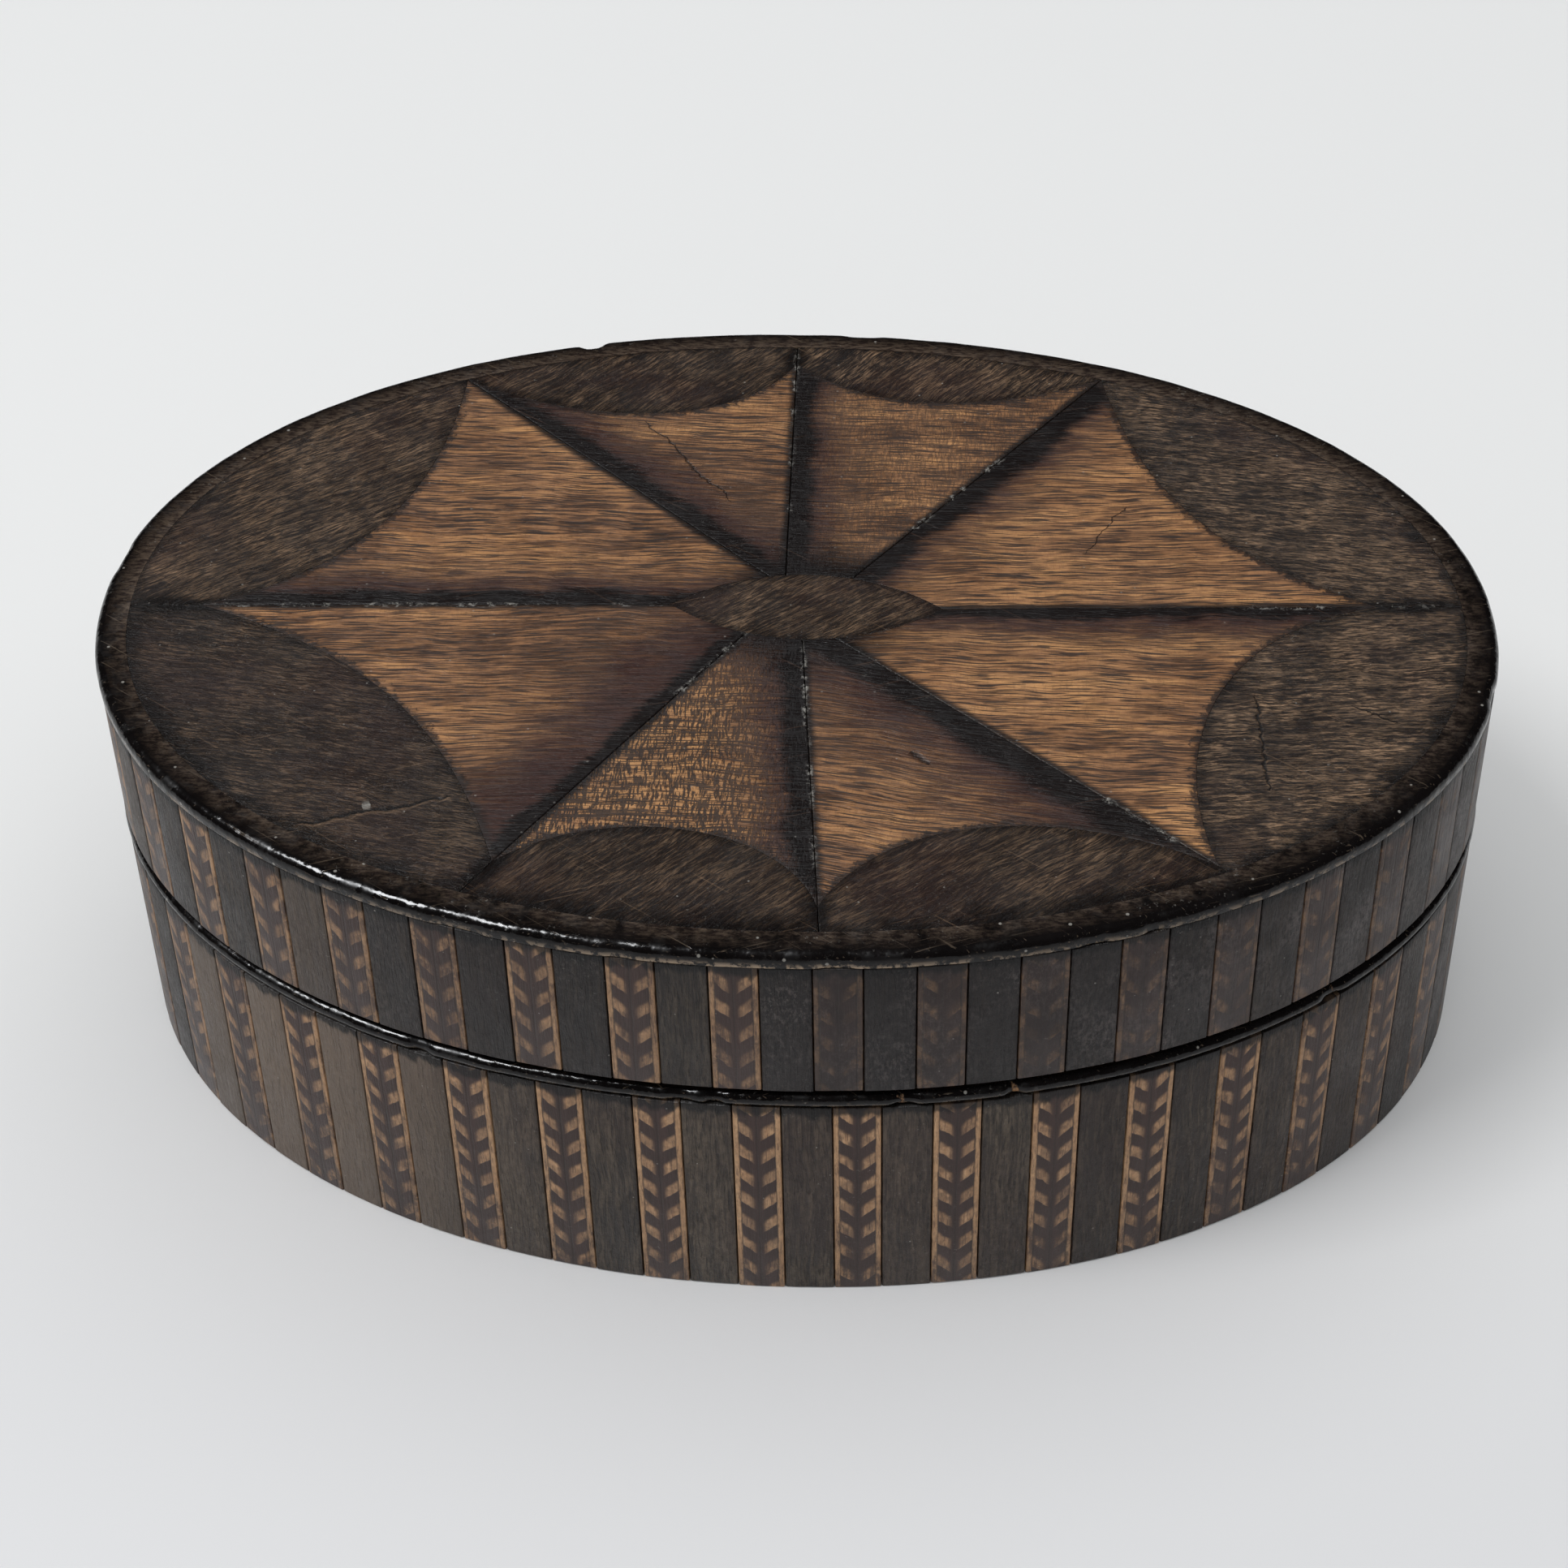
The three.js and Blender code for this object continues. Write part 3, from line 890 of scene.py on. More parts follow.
def make_wear_group():
    """Old polish: clouds of grime, fine scratches in two directions, specks of dust and pale grit."""
    s = Group("old_polish", place=(0.0, 0.0, 0.0), speck_size=0.12)
    place, speck_size = s.given.place, s.given.speck_size
    scratches = [
        s.ease(s.noise(s.scaled(s.turned(place, turn), 0.12, 5, 5), 1, 2, 0.5), 0.66, 0.74)
        for turn in (0.6, -0.35)
    ]
    cells = s.outputs(s.node("ShaderNodeTexVoronoi", {"Vector": place, "Scale": 1.1}))
    near = s.ease(cells.distance, speck_size, speck_size * 0.6)
    own = s.made("ShaderNodeSeparateColor", {0: cells.color})
    s.give(
        clouds=s.ease(s.noise(place, 0.22, 5, 0.6), 0.3, 0.7),
        scratches=s.most(*scratches),
        specks=near * s.math("GREATER_THAN", own, 0.86),
        grit=s.ease(s.noise(place, 3.2, 4, 0.7), 0.6, 0.74) * s.ease(s.noise(place, 0.16, 3), 0.46, 0.64),
    )


def make_crack_group():
    """A wandering crack from one point to another, 1 in its middle and 0 beside it."""
    s = Group("crack", place=(0.0, 0.0, 0.0), start=(0.0, 0.0, 0.0), end=(1.0, 0.0, 0.0), width=0.15)
    place, start = s.given.place, s.given.start
    run = s.vector("SUBTRACT", s.given.end, start)
    away = s.scaled(s.vector("SUBTRACT", place, start), 1, 1, 0)
    ahead = s.vector("NORMALIZE", run)
    reached = s.vector("DOT_PRODUCT", away, ahead, output=1) / s.vector("LENGTH", run, output=1)
    aside = s.parts(s.vector("CROSS_PRODUCT", ahead, away)).z
    off = s.math("ABSOLUTE", aside + s.wander(1.6, place, 0.5, 4, 0.6))
    taper = reached * (1.0 - reached)
    width = s.given.width * s.ease(taper, 0.0, 0.12)
    s.give(crack=s.ease(off, width, 0.0) * s.math("GREATER_THAN", taper, 0.0))


def cracks_in(s, place, marks):
    """The strongest of several cracks at a place."""
    cracks = [
        s.group("crack", place=place, start=(*start, 0), end=(*end, 0), width=width).crack
        for start, end, width in marks
    ]
    return s.most(0.0, *cracks)


def thinly_polished(s, place):
    """1 behind the middle on the left and at the back, where the black polish is thinner, 0 elsewhere."""
    at = s.parts(place)
    left = s.ease(at.x, 5.0, -35.0) * s.ease(at.y, -9.0, 5.0)
    return s.most(left, s.ease(at.y, 5.0, 25.0))


def ragged(s, place):
    """The dark of a rim lens that frays a little way into the fan beside it."""
    return s.ease(s.attribute("arc") + s.wander(3.2, place, 1.9, 4, 0.7), 0.5, 0.1) * 0.85


def flakes_and_glints_at(s, place, away):
    """Chains of pale flakes of polish along the worn joints, which also paint the glints caught there:
    partly painted highlight.
    """
    near = s.ease(away + s.noise(place, 0.8, 2) * 0.3, 0.5, 0.2)
    broken = s.ease(s.noise(place, 1.7, 4, 0.75), 0.5, 0.6) * s.ease(s.noise(place, 0.3, 2), 0.42, 0.6)
    return near * broken * s.ease(cracks_in(s, place, FLAKED_GLINTING_JOINTS), 0.2, 0.6)


def fan_wood(colours, wear):
    """Light wood, sand-shaded to black along its counter-clockwise joint and smoked at the centre."""
    s = Surface("fan_veneer")
    place = s.place()
    turn, seed = s.attribute("grain_turn"), s.attribute("panel")
    grain = s.group(
        "wood_grain",
        place=place,
        turn=turn,
        seed=seed,
        wave=1.6,
        pore_length=2.0,
        pore_width=0.09,
        pore_share=0.66,
    )
    crossing = s.group(
        "wood_grain",
        place=s.scaled(place, 1.5, 1.5, 1.5),
        turn=turn + TURN / 4,
        seed=seed,
        wave=0.8,
        streak_width=0.7,
        pore_length=0.8,
        pore_width=0.15,
        pore_share=0.8,
        line_length=1.2,
    )
    polish = s.group("old_polish", place=place)
    tone = s.attribute("tone") - 0.5
    soiled = s.ease(s.noise(place, 0.1, 5, 0.65), 0.4, 0.64)
    streaks = grain.streaks * 0.55 + grain.fibres * 0.45 + tone * 0.55 - soiled * 0.36 + 0.03
    crossed = s.attribute("crossed")
    curl = (1.0 - crossing.streaks) * crossed
    lines = s.most(
        grain.lines * (crossed * 0.31 + 0.54),
        crossing.lines * (crossed * 0.6 + 0.22),
    )
    pores = s.most(grain.pores, crossing.pores * crossed)

    scorch, centre, joint = s.attribute("scorch"), s.attribute("centre"), s.attribute("joint")
    wander = s.wander(5.0, place, 0.2, 5, 0.6)
    uneven = wander + (grain.fibres - 0.5) * 1.1
    depth = scorch / s.attribute("shading") + uneven
    reach = centre - s.attribute("smoked") * 9.0 + uneven
    haze = s.most(s.ease(depth, 7.5, 2.0), s.ease(reach, 9.0, 1.0))
    warm = s.most(s.ease(depth, 4.4, 1.2), s.ease(reach, 4.5, -3.0))
    at_joint = s.ease((scorch + uneven * 0.45) / s.attribute("black"), 1.05, 0.55)
    black = s.most(at_joint, s.ease(centre + wander, 9.5, 4.0))
    thin_line = s.ease(joint + wander * 0.12, 0.75, 0.15)
    arc_line = s.ease(s.attribute("arc") + wander * 0.3, 0.8, 0.0)
    crack = cracks_in(s, place, FAN_SCRATCHES)
    # Pale flakes along the joints, partly painted highlight where the joints catch glints.
    flakes_and_glints = flakes_and_glints_at(s, place, s.math("MINIMUM", scorch, joint))
    grit = polish.grit * (black * 0.12 + 0.08)
    colour = s.coats(
        colours.fan_dark,
        (colours.fan_middle, s.ease(streaks, 0.0, 0.42)),
        (colours.fan_light, s.ease(streaks, 0.32, 0.95)),
        (colours.fan_dark, lines),
        (colours.fan_dark, curl * 0.2),
        (colours.lens_dark, pores * 0.9),
        (colours.fan_dark, haze * 0.6),
        (colours.scorch_warm, warm * 0.88),
        (colours.scorch_black, warm * lines * 0.6),
        (colours.scorch_black, black * 0.95),
        (colours.scorch_black, s.most(thin_line * 0.92, arc_line * 0.5)),
        (colours.lens_dark, ragged(s, place)),
        (colours.scorch_black, crack * 0.8),
        (colours.fan_dark, polish.scratches * 0.36),
        (colours.dust, s.most(polish.specks * (wear.dust * 0.5), flakes_and_glints * 0.7, grit)),
    )
    rough = pores * 0.2 + polish.clouds * 0.14 + polish.scratches * 0.1 - black * 0.06 + 0.38
    s.finish(colour, rough, INLAY_SPECULAR)
    height = grain.fibres * 0.3 - pores * 0.8 - crack * 1.4 + polish.clouds * 0.4 + flakes_and_glints
    s.relief(height, 0.07 * MM)


def lens_wood(colours, wear, name, cracks, chips):
    """Dark brown wood with pale strokes, blackened towards the edging."""
    s = Surface(name)
    place = s.place()
    tone = s.attribute("tone")
    grain = s.group(
        "wood_grain",
        place=s.scaled(place, 1.5, 1.5, 1.5),
        turn=s.attribute("grain_turn"),
        seed=s.attribute("panel"),
        wave=1.3,
        streak_width=0.8,
        pore_length=0.9,
        pore_width=0.12,
        pore_share=0.7,
        fibre_length=1.9,
        line_length=3.0,
    )
    polish = s.group("old_polish", place=place, speck_size=0.1)
    broad = s.ease(s.noise(place, 0.09, 4, 0.6), 0.36, 0.64)
    streaks = grain.streaks * 0.5 + grain.fibres * 0.35 + broad * 0.25
    strokes = grain.fibres * s.ease(s.noise(place, 0.35, 5, 0.65), 0.4, 0.66)
    purple = s.ease(s.noise(s.vector("ADD", place, (40.0, 7.0, 0.0)), 0.07, 3), 0.46, 0.64)

    wander = s.wander(3.4, place, 0.35, 5, 0.6)
    from_rim = s.attribute("rim") + wander + thinly_polished(s, place) * 0.9
    rim = s.most(s.ease(from_rim, 2.2, -0.2), s.ease(s.attribute("rim"), 0.4, 0.1) * 0.7)
    arc = s.ease(s.attribute("arc") + wander * 0.3, 1.1, -0.1)
    joint = s.ease(s.attribute("joint") + wander * 0.35, 1.5, 0.3)
    edge = s.most(rim * 0.93, arc * 0.55, joint * 0.9)
    crack = cracks_in(s, place, cracks)
    # Painted highlight: a pale line along the front side of each crack, where its lip catches the light.
    beside = cracks_in(s, s.vector("ADD", place, (0.0, 0.2, 0.0)), cracks) - crack
    # Pale flakes along the joints and in chips, partly painted highlight where the joints catch glints.
    flakes_and_glints = s.most(flakes_and_glints_at(s, place, s.attribute("joint")), cracks_in(s, place, chips))
    colour = s.coats(
        colours.lens_dark,
        (colours.lens_middle, s.ease(streaks, 0.25, 0.8)),
        (colours.lens_light, strokes * (tone * 0.6 + 0.42)),
        (colours.lens_dark, grain.lines * 0.9),
        (colours.scorch_black, grain.pores * 0.7),
        (colours.lens_dark, (1.0 - tone) * 0.55),
        (colours.scorch_warm, purple * 0.35),
        (colours.scorch_black, edge),
        (colours.scorch_black, crack * 0.95),
        (colours.lens_light, beside * 0.35),
        (colours.lens_light, polish.scratches * 0.22),
        (colours.dust, s.most(polish.specks * wear.dust, flakes_and_glints * 0.7, polish.grit * 0.3)),
    )
    rough = polish.clouds * 0.16 + grain.pores * 0.15 - edge * 0.12 + 0.4
    s.finish(colour, rough, INLAY_SPECULAR)
    height = grain.fibres * 0.9 - grain.lines * 0.5 - grain.pores * 0.6 - crack * 2.0
    s.relief(height, 0.07 * MM)


def wall_place(s):
    """Place on the flattened wall: up the wall, across the strip, and the strip's own."""
    return s.joined(s.parts(s.place()).z, s.attribute("across"), s.attribute("strip") * 60.0)


def scuffs(s, place):
    """Fine rubbing, a little longer up the wall than across it."""
    return s.ease(s.noise(s.scaled(place, 3.2, 3.2, 1.7), 1, 4, 0.7), 0.38, 0.66)


def polish_and_shade_below_top(s, place):
    """Black polish that has run a little way down from the edging above, which also paints the shade under
    the edging's overhang: partly painted shade.
    """
    wander = s.wander(2.2, s.scaled(place, 1.4, 1.4, 0.4), 0.8, 4)
    return s.ease(s.attribute("below_top") + wander, 1.0, 0.45)


def grime_and_sheen_coat(s, place, colours, strength):
    """Mottled grey grime, thickest where a wall is most soiled, with a painted sheen that makes it paler to
    the right.
    """
    # Painted sheen: the film is lightened towards the right, where the walls mirror the light.
    painted_sheen_right = s.ease(s.parts(place).x, 5.0, 48.0)
    spots = s.noise(s.scaled(place, 1.0, 1.0, 0.6), 3.2, 5, 0.75) + painted_sheen_right * 0.1
    film = s.blend(s.ease(spots, 0.46, 0.66), colours.grime_dark, colours.grime)
    cover = s.ease(s.attribute("soil"), 0.4, 0.8) * s.ease(s.noise(place, 0.25, 4), 0.3, 0.7)
    return film, cover * strength


def stave_wood(colours, wear):
    """Plain dark staves with fine upright fibres."""
    s = Surface("stave_veneer")
    place = s.place()
    at = s.parts(place)
    strip, soil = s.attribute("strip"), s.attribute("soil")
    grain = s.group(
        "wood_grain",
        place=wall_place(s),
        seed=strip,
        wave=0.8,
        streak_width=0.7,
        pore_length=1.1,
        pore_width=0.12,
    )
    polish = s.group("old_polish", place=place, speck_size=0.09)
    scuffed = scuffs(s, place)
    fibres = grain.streaks * 0.4 + grain.fibres * 0.5 + polish.clouds * 0.15 - soil * 0.5
    fibres += (strip - 0.5) * 0.25
    warm = s.ease(s.noise(place, 0.07, 2), 0.4, 0.65)
    handled = s.ease(at.y, -26.0, -33.0) * s.ease(soil, 0.35, 0.55)
    # Painted sheen: the less soiled staves are lightened towards the left, where they catch the light.
    painted_sheen_left = s.ease(at.x, -12.0, -38.0) * s.ease(soil, 0.6, 0.3)
    colour = s.coats(
        colours.stave_dark,
        (colours.stave_light, s.ease(fibres, 0.0, 0.95)),
        (colours.scorch_black, grain.pores * 0.55),
        (colours.feather_dark, warm * 0.35),
        (colours.stave_dark, scuffed * 0.5),
        (colours.scorch_black, s.ease(soil, 0.3, 0.9) * 0.62),
        (colours.scorch_black, handled * 0.5),
        (colours.stave_sheen, painted_sheen_left * 0.75),
        # Grime, with a painted sheen towards the right.
        grime_and_sheen_coat(s, place, colours, 0.55),
        # Black polish below the edging, partly painted shade under its overhang.
        (colours.edging, polish_and_shade_below_top(s, place) * 0.9),
        (colours.dust, s.most(polish.specks * wear.dust, polish.grit * 0.3)),
    )
    rough = grain.fibres * 0.08 + polish.clouds * 0.14 + scuffed * 0.08 + 0.34
    s.finish(colour, rough, WALL_SPECULAR)
    height = grain.fibres * 0.5 - grain.pores * 0.7 + polish.clouds * 0.4 - scuffed * 0.3
    s.relief(height, 0.06 * MM)


def feather_wood(sizes, colours, wear):
    """Feather bands: a light string at each side, and light and dark feathers that point down."""
    s = Surface("feather_veneer")
    place, flattened = s.place(), wall_place(s)
    strip, soil = s.attribute("strip"), s.attribute("soil")
    grain = s.group(
        "wood_grain",
        place=flattened,
        seed=strip,
        wave=0.5,
        streak_width=0.7,
        pore_length=0.9,
        pore_width=0.1,
    )
    polish = s.group("old_polish", place=place, speck_size=0.08)
    scuffed = scuffs(s, place)
    rough_cut = s.wander(0.5, flattened, 1.1, 3)
    side = s.math("ABSOLUTE", s.attribute("across") + rough_cut * 0.3)
    slant = s.parts(place).z - side * 0.9 + rough_cut + strip * 40.0
    phase = s.math("FRACT", slant / (sizes.feather_pitch / MM))
    tile = s.ease(phase, 0.0, 0.05) * s.ease(phase, 0.56, 0.36) * s.ease(side, 0.15, 0.6)
    string_edge = (sizes.band_width / 2 - sizes.string_width) / MM
    string = s.ease(side, string_edge - 0.03, string_edge + 0.03)
    seam_line = s.ease(s.math("ABSOLUTE", side - string_edge), 0.09, 0.02)
    lines = s.most(seam_line, s.ease(side, 0.1, 0.02) * 0.8) * 0.5

    smear = s.noise(s.scaled(flattened, 0.5, 1.2, 1.0), 0.7, 5, 0.7) + grain.fibres * 0.14
    smear -= s.ease(s.attribute("below_top"), 8.0, 19.0) * 0.22
    remnants = s.ease(s.noise(s.scaled(flattened, 0.8, 1.0, 1.0), 0.8, 4, 0.7), 0.47, 0.6)
    kept = s.most(s.ease(smear - soil * 0.58, 0.12, 0.4), remnants * 0.66)
    faded = s.ease(s.noise(flattened, 0.9, 3), 0.36, 0.62) * 0.45
    light = s.most(tile * (1.0 - faded), string) * (kept * 0.86 + 0.14)
    mark = s.coats(
        colours.string,
        (colours.fan_middle, grain.fibres * 0.4),
        (colours.fan_dark, s.ease(soil, 0.15, 0.9) * 0.4),
    )
    colour = s.coats(
        colours.feather_dark,
        (colours.stave_dark, grain.streaks * 0.5),
        (mark, light),
        (colours.feather_dark, grain.pores * 0.5),
        (colours.feather_dark, scuffed * 0.34),
        (colours.scorch_black, s.ease(soil, 0.5, 0.9) * (polish.clouds * 0.3 + 0.3)),
        (colours.stave_dark, lines),
        # Grime, with a painted sheen towards the right.
        grime_and_sheen_coat(s, place, colours, 0.3),
        # Black polish below the edging, partly painted shade under its overhang.
        (colours.edging, polish_and_shade_below_top(s, place) * 0.85),
        (colours.dust, s.most(polish.specks * (wear.dust * 0.6), polish.grit * 0.25)),
    )
    rough = light * 0.06 + polish.clouds * 0.14 + polish.scratches * 0.08 + 0.36
    s.finish(colour, rough, WALL_SPECULAR)
    height = grain.fibres * 0.35 - lines * 0.8 + light * 0.3 + polish.clouds * 0.4
    s.relief(height, 0.06 * MM)


def edging_wood(colours, wear):
    """Black polished edging, worn brown and grey along its corners, with raw wood in its chips."""
    s = Surface("black_edging")
    place = s.place()
    polish = s.group("old_polish", place=place, speck_size=0.16)
    rubbed = s.noise(place, 1.1, 5, 0.65)
    corner_wear = s.attribute("corner") * s.ease(rubbed, 0.46, 0.56)
    worn = s.most(corner_wear * 0.85, polish.scratches * 0.15)
    patches = s.noise(place, 0.7, 5, 0.7) + thinly_polished(s, place) * 0.24
    thin = s.attribute("flat") * s.ease(patches, 0.3, 0.7)
    strokes = s.ease(s.noise(s.scaled(place, 1.2, 4.0, 4.0), 1, 4, 0.7), 0.4, 0.6)
    chip = s.ease(s.attribute("chip") + rubbed * 1.2, 1.25, 1.45)
    dull = s.ease(s.noise(place, 0.5, 4, 0.65), 0.52, 0.6)
    colour = s.coats(
        colours.edging,
        (colours.scorch_black, polish.clouds * 0.5),
        (s.blend(strokes, colours.lens_dark, colours.edging_brown), thin),
        (colours.edging_worn, worn),
        (colours.raw, chip * 0.8),
        (colours.dust, s.most(polish.specks * wear.dust, polish.grit * 0.3)),
    )
    rough = polish.clouds * 0.12 + worn * 0.3 + chip * 0.4 + thin * 0.2 + dull * 0.16 + 0.12
    s.finish(colour, rough, EDGING_SPECULAR)
    height = s.noise(place, 1.0, 2, 0.5) + s.noise(place, 0.3, 2) * 1.2 - worn * 0.3 - chip * 0.6
    s.relief(height, 0.1 * MM)


def plain_wood(name, colours, squeeze, **grain_sizes):
    """Plain inside wood, dull and handled, its grain stretched by squeezing the place that it reads."""
    s = Surface(name)
    place = s.place()
    grain = s.group("wood_grain", place=s.scaled(place, *squeeze), pore_width=0.14, **grain_sizes)
    polish = s.group("old_polish", place=place, speck_size=0.1)
    stain = s.ease(s.noise(place, 0.06, 4), 0.42, 0.7)
    colour = s.coats(
        colours.inside_dark,
        (colours.inside, grain.streaks * 0.7 + grain.fibres * 0.3),
        (colours.inside_dark, grain.pores * 0.5),
        (colours.inside_dark, stain * 0.55),
        (colours.scorch_warm, polish.clouds * 0.2),
    )
    s.finish(colour, grain.pores * 0.15 + polish.clouds * 0.15 + 0.55)
    height = grain.fibres * 0.4 - grain.pores * 0.6 - polish.scratches * 0.3
    s.relief(height, 0.08 * MM)


def floor_paper(studio):
    """Pale floor with the faintest mottle, painted darker in front of the box and lighter behind it as
    painted light and shade.
    """
    s = Surface("pale_floor")
    place = s.place()
    mottle = s.noise(place, 0.02, 3)
    colour = s.coats(
        studio.floor_front,
        # Painted light: the floor is lighter behind the box and darker in front of it.
        (studio.floor, s.ease(s.parts(place).y, -50.0, 10.0)),
        ([0.9 * channel for channel in studio.floor], mottle * 0.1),
    )
    s.finish(colour, 0.6)


# Operators


class MakeWoods(bpy.types.Operator):
    """Mixes every wood and finish of the box"""

    bl_idname = "oval_box.woods"
    bl_label = "Woods"

    def execute(self, context):
        scene = context.scene
        colours, wear = scene.wood_colours, scene.wear_amounts
        make_grain_group()
        make_wear_group()
        make_crack_group()
        fan_wood(colours, wear)
        lens_wood(colours, wear, "lens_veneer", LENS_CRACKS, LENS_CHIPS)
        lens_wood(colours, wear, "centre_veneer", [], [])
        stave_wood(colours, wear)
        feather_wood(scene.box_sizes, colours, wear)
        edging_wood(colours, wear)
        flat_grain = {"wave": 2.5, "streak_width": 3.2, "pore_length": 1.6}
        round_grain = {"wave": 0.6, "streak_width": 1.4, "pore_length": 0.3}
        plain_wood("board_wood", colours, (1.0, 1.0, 1.0), **flat_grain)
        plain_wood("bent_wood", colours, (0.12, 0.12, 1.0), **round_grain)
        return {"FINISHED"}


class MakeCarcass(bpy.types.Operator):
    """Turns the plain rings of the base and the lid, and finishes the floor and the lid's board"""

    bl_idname = "oval_box.carcass"
    bl_label = "Carcass and Lining"

    def execute(self, context):
        sizes = context.scene.box_sizes
        lining = (sizes.lining_seat, sizes.lining_inside, sizes.lining_rounding)
        rings = [
            ("base_wall", "base", "plain_wood", sizes.veneer, sizes.lining_seat, sizes.arris),
            ("lid_wall", "lid", "plain_wood", sizes.veneer, sizes.lid_wall_inside, sizes.arris),
            ("base_lining", "base", "lining_wood", *lining),
        ]
        for node, body, slot, outside, inside, rounding in rings:
            low, high = heights(node)
            foot = min(rounding, sizes.arris)
            profile = np.concatenate(
                [
                    corner(outside + foot, low + foot, foot, -90, 0),
                    corner(outside + rounding, high - rounding, rounding, 0, 90),
                    corner(inside - rounding, high - rounding, rounding, 90, 180),
                    corner(inside - foot, low + foot, foot, 180, 270),
                ]
            )
            points, faces = ring(sizes, profile, RING_STATIONS)
            make_piece(f"{node}_ring", points, faces, "bent_wood", body, [node])
        for node in ("base_floor", "lid_board"):
            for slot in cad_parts[node].material_slots:
                slot.material = bpy.data.materials["board_wood"]
        return {"FINISHED"}


class MakeStripes(bpy.types.Operator):
    """Cuts the feather bands and plain staves of both walls"""

    bl_idname = "oval_box.stripes"
    bl_label = "Striped Veneer"

    def execute(self, context):
        sizes = context.scene.box_sizes
        wear = context.scene.wear_amounts
        pitch = walk(sizes)[1][-1] / sizes.stripe_pairs
        levels = [("base", sizes.base_shift, 11), ("lid", sizes.lid_shift, 23)]
        for level, shift, seed in levels:
            node = f"{level}_striped_veneer"
            kinds = [
                ("feather_bands", sizes.band_width, 0.0, "feather_veneer", seed),
                ("staves", pitch - sizes.band_width, pitch / 2, "stave_veneer", seed + 1),
            ]
            for kind, width, offset, wood, kind_seed in kinds:
                block = (width, offset, kind_seed)
                points, faces, centres, across = strip_blocks(sizes, wear, shift, node, *block)
                values = self.strip_values(sizes, level, node, centres, points, kind_seed)
                values["across"] = across
                make_piece(f"{level}_{kind}", points, faces, wood, level, [node], values)
        return {"FINISHED"}

    def strip_values(self, sizes, level, node, centres, points, seed):
        """Each strip's own number, how soiled it is, and each point's distance from the upper end.

        The lid is soiled most at the front right, and the base towards both ends of the oval.
        """
        random = np.random.default_rng(seed + 100)
        own = random.uniform(0, 1, len(centres))
        x, y = oval_point(sizes, turn_at(sizes, centres), 0).T / MM
        right = np.clip((x + 4) / 10, 0, 1)
        front = np.clip(-y / 10, 0, 1)
        if level == "lid":
            soil = LID_SOIL + front * (right - 0.5) * LID_SWING
            soil = soil + random.uniform(-LID_SPREAD, LID_SPREAD, len(centres))
        else:
            soil = BASE_SOIL + BASE_RISE * np.abs(x / 50) ** 2.2
            soil = soil + random.uniform(0, BASE_SPREAD, len(centres))
        spread = np.ones(points.shape[1:3])
        return {
            "strip": own[:, None, None] * spread,
            "soil": np.clip(soil, 0, 1)[:, None, None] * spread,
            "below_top": (heights(node)[1] - points[..., 2]) / MM,
        }


class MakeEdgings(bpy.types.Operator):
    """Runs the black edging round the top and the bead round the base"""

    bl_idname = "oval_box.edgings"
    bl_label = "Black Edgings"

    def execute(self, context):
        self.sizes = context.scene.box_sizes
        self.wear = context.scene.wear_amounts
        low, high = heights("lid_edging")
        sizes = self.sizes
        soft, shoulder, proud = sizes.arris, sizes.top_edging_rounding, sizes.edging_proud
        top_profile = np.concatenate(
            [
                corner(soft - proud, low + soft, soft, -90, 0),
                corner(shoulder - proud, high - shoulder, shoulder, 0, 90, steps=12),
                [[sizes.top_edging_width, high], [sizes.top_edging_width, low]],
            ]
        )
        self.edging("top_edging", "lid_edging", "lid", top_profile, TOP_DENTS, 5)
        low, high = heights("base_edging")
        bead = (high - low) / 2
        bead_profile = np.concatenate(
            [
                corner(bead - proud, low + bead, bead, -90, 90, steps=14),
                [[sizes.lining_seat, high], [sizes.lining_seat, low]],
            ]
        )
        self.edging("bead_edging", "base_edging", "base", bead_profile, BEAD_DENTS, 6)
        return {"FINISHED"}

    def edging(self, name, node, body, profile, dents, seed):
        """A ring whose outer side wanders inwards, sinks in at its dents, and keeps its inner side.

        corner is greatest at the outer side's foot, most of all at the front, and fades upwards as a
        bell curve. chip is 1 in a deep dent, and flat is 1 on the part that lies inside the rounding.
        """
        sizes = self.sizes
        whole = walk(sizes)[1][-1]
        distance = np.linspace(0, whole, EDGING_STATIONS, endpoint=False)[:, None]
        inner = profile[:, 0].max()
        outer = np.clip((inner - profile[:, 0]) / inner, 0, 1)[None, :]
        low, high = profile[:, 1].min(), profile[:, 1].max()
        raised = ((profile[:, 1] - low) / (high - low))[None, :]
        dent = dented(distance, whole, dents)
        sway = self.wear.edging_ripple
        sink = (ripple(distance, whole, seed) * sway + dent) * outer
        fall = (ripple(distance, whole, seed + 40) * sway / 2 + dent / 2) * outer * raised
        lower_corner = np.exp(-((raised / 0.24) ** 2)) * (profile[:, 0] < inner / 3)
        spread = np.ones((EDGING_STATIONS, 1))
        from_front = np.mod(distance + whole / 2, whole) - whole / 2
        worn = 0.8 + 0.8 * np.exp(-((from_front / sizes.front_worn) ** 2))
        values = {
            "corner": worn * lower_corner,
            "chip": np.clip(dent / DEEP_DENT, 0, 1) * outer,
            "flat": spread * np.clip((0.75 - outer) / 0.2, 0, 1),
        }
        points, faces = ring(sizes, profile, EDGING_STATIONS, sink, fall)
        make_piece(name, points, faces, "black_edging", body, [node], values)


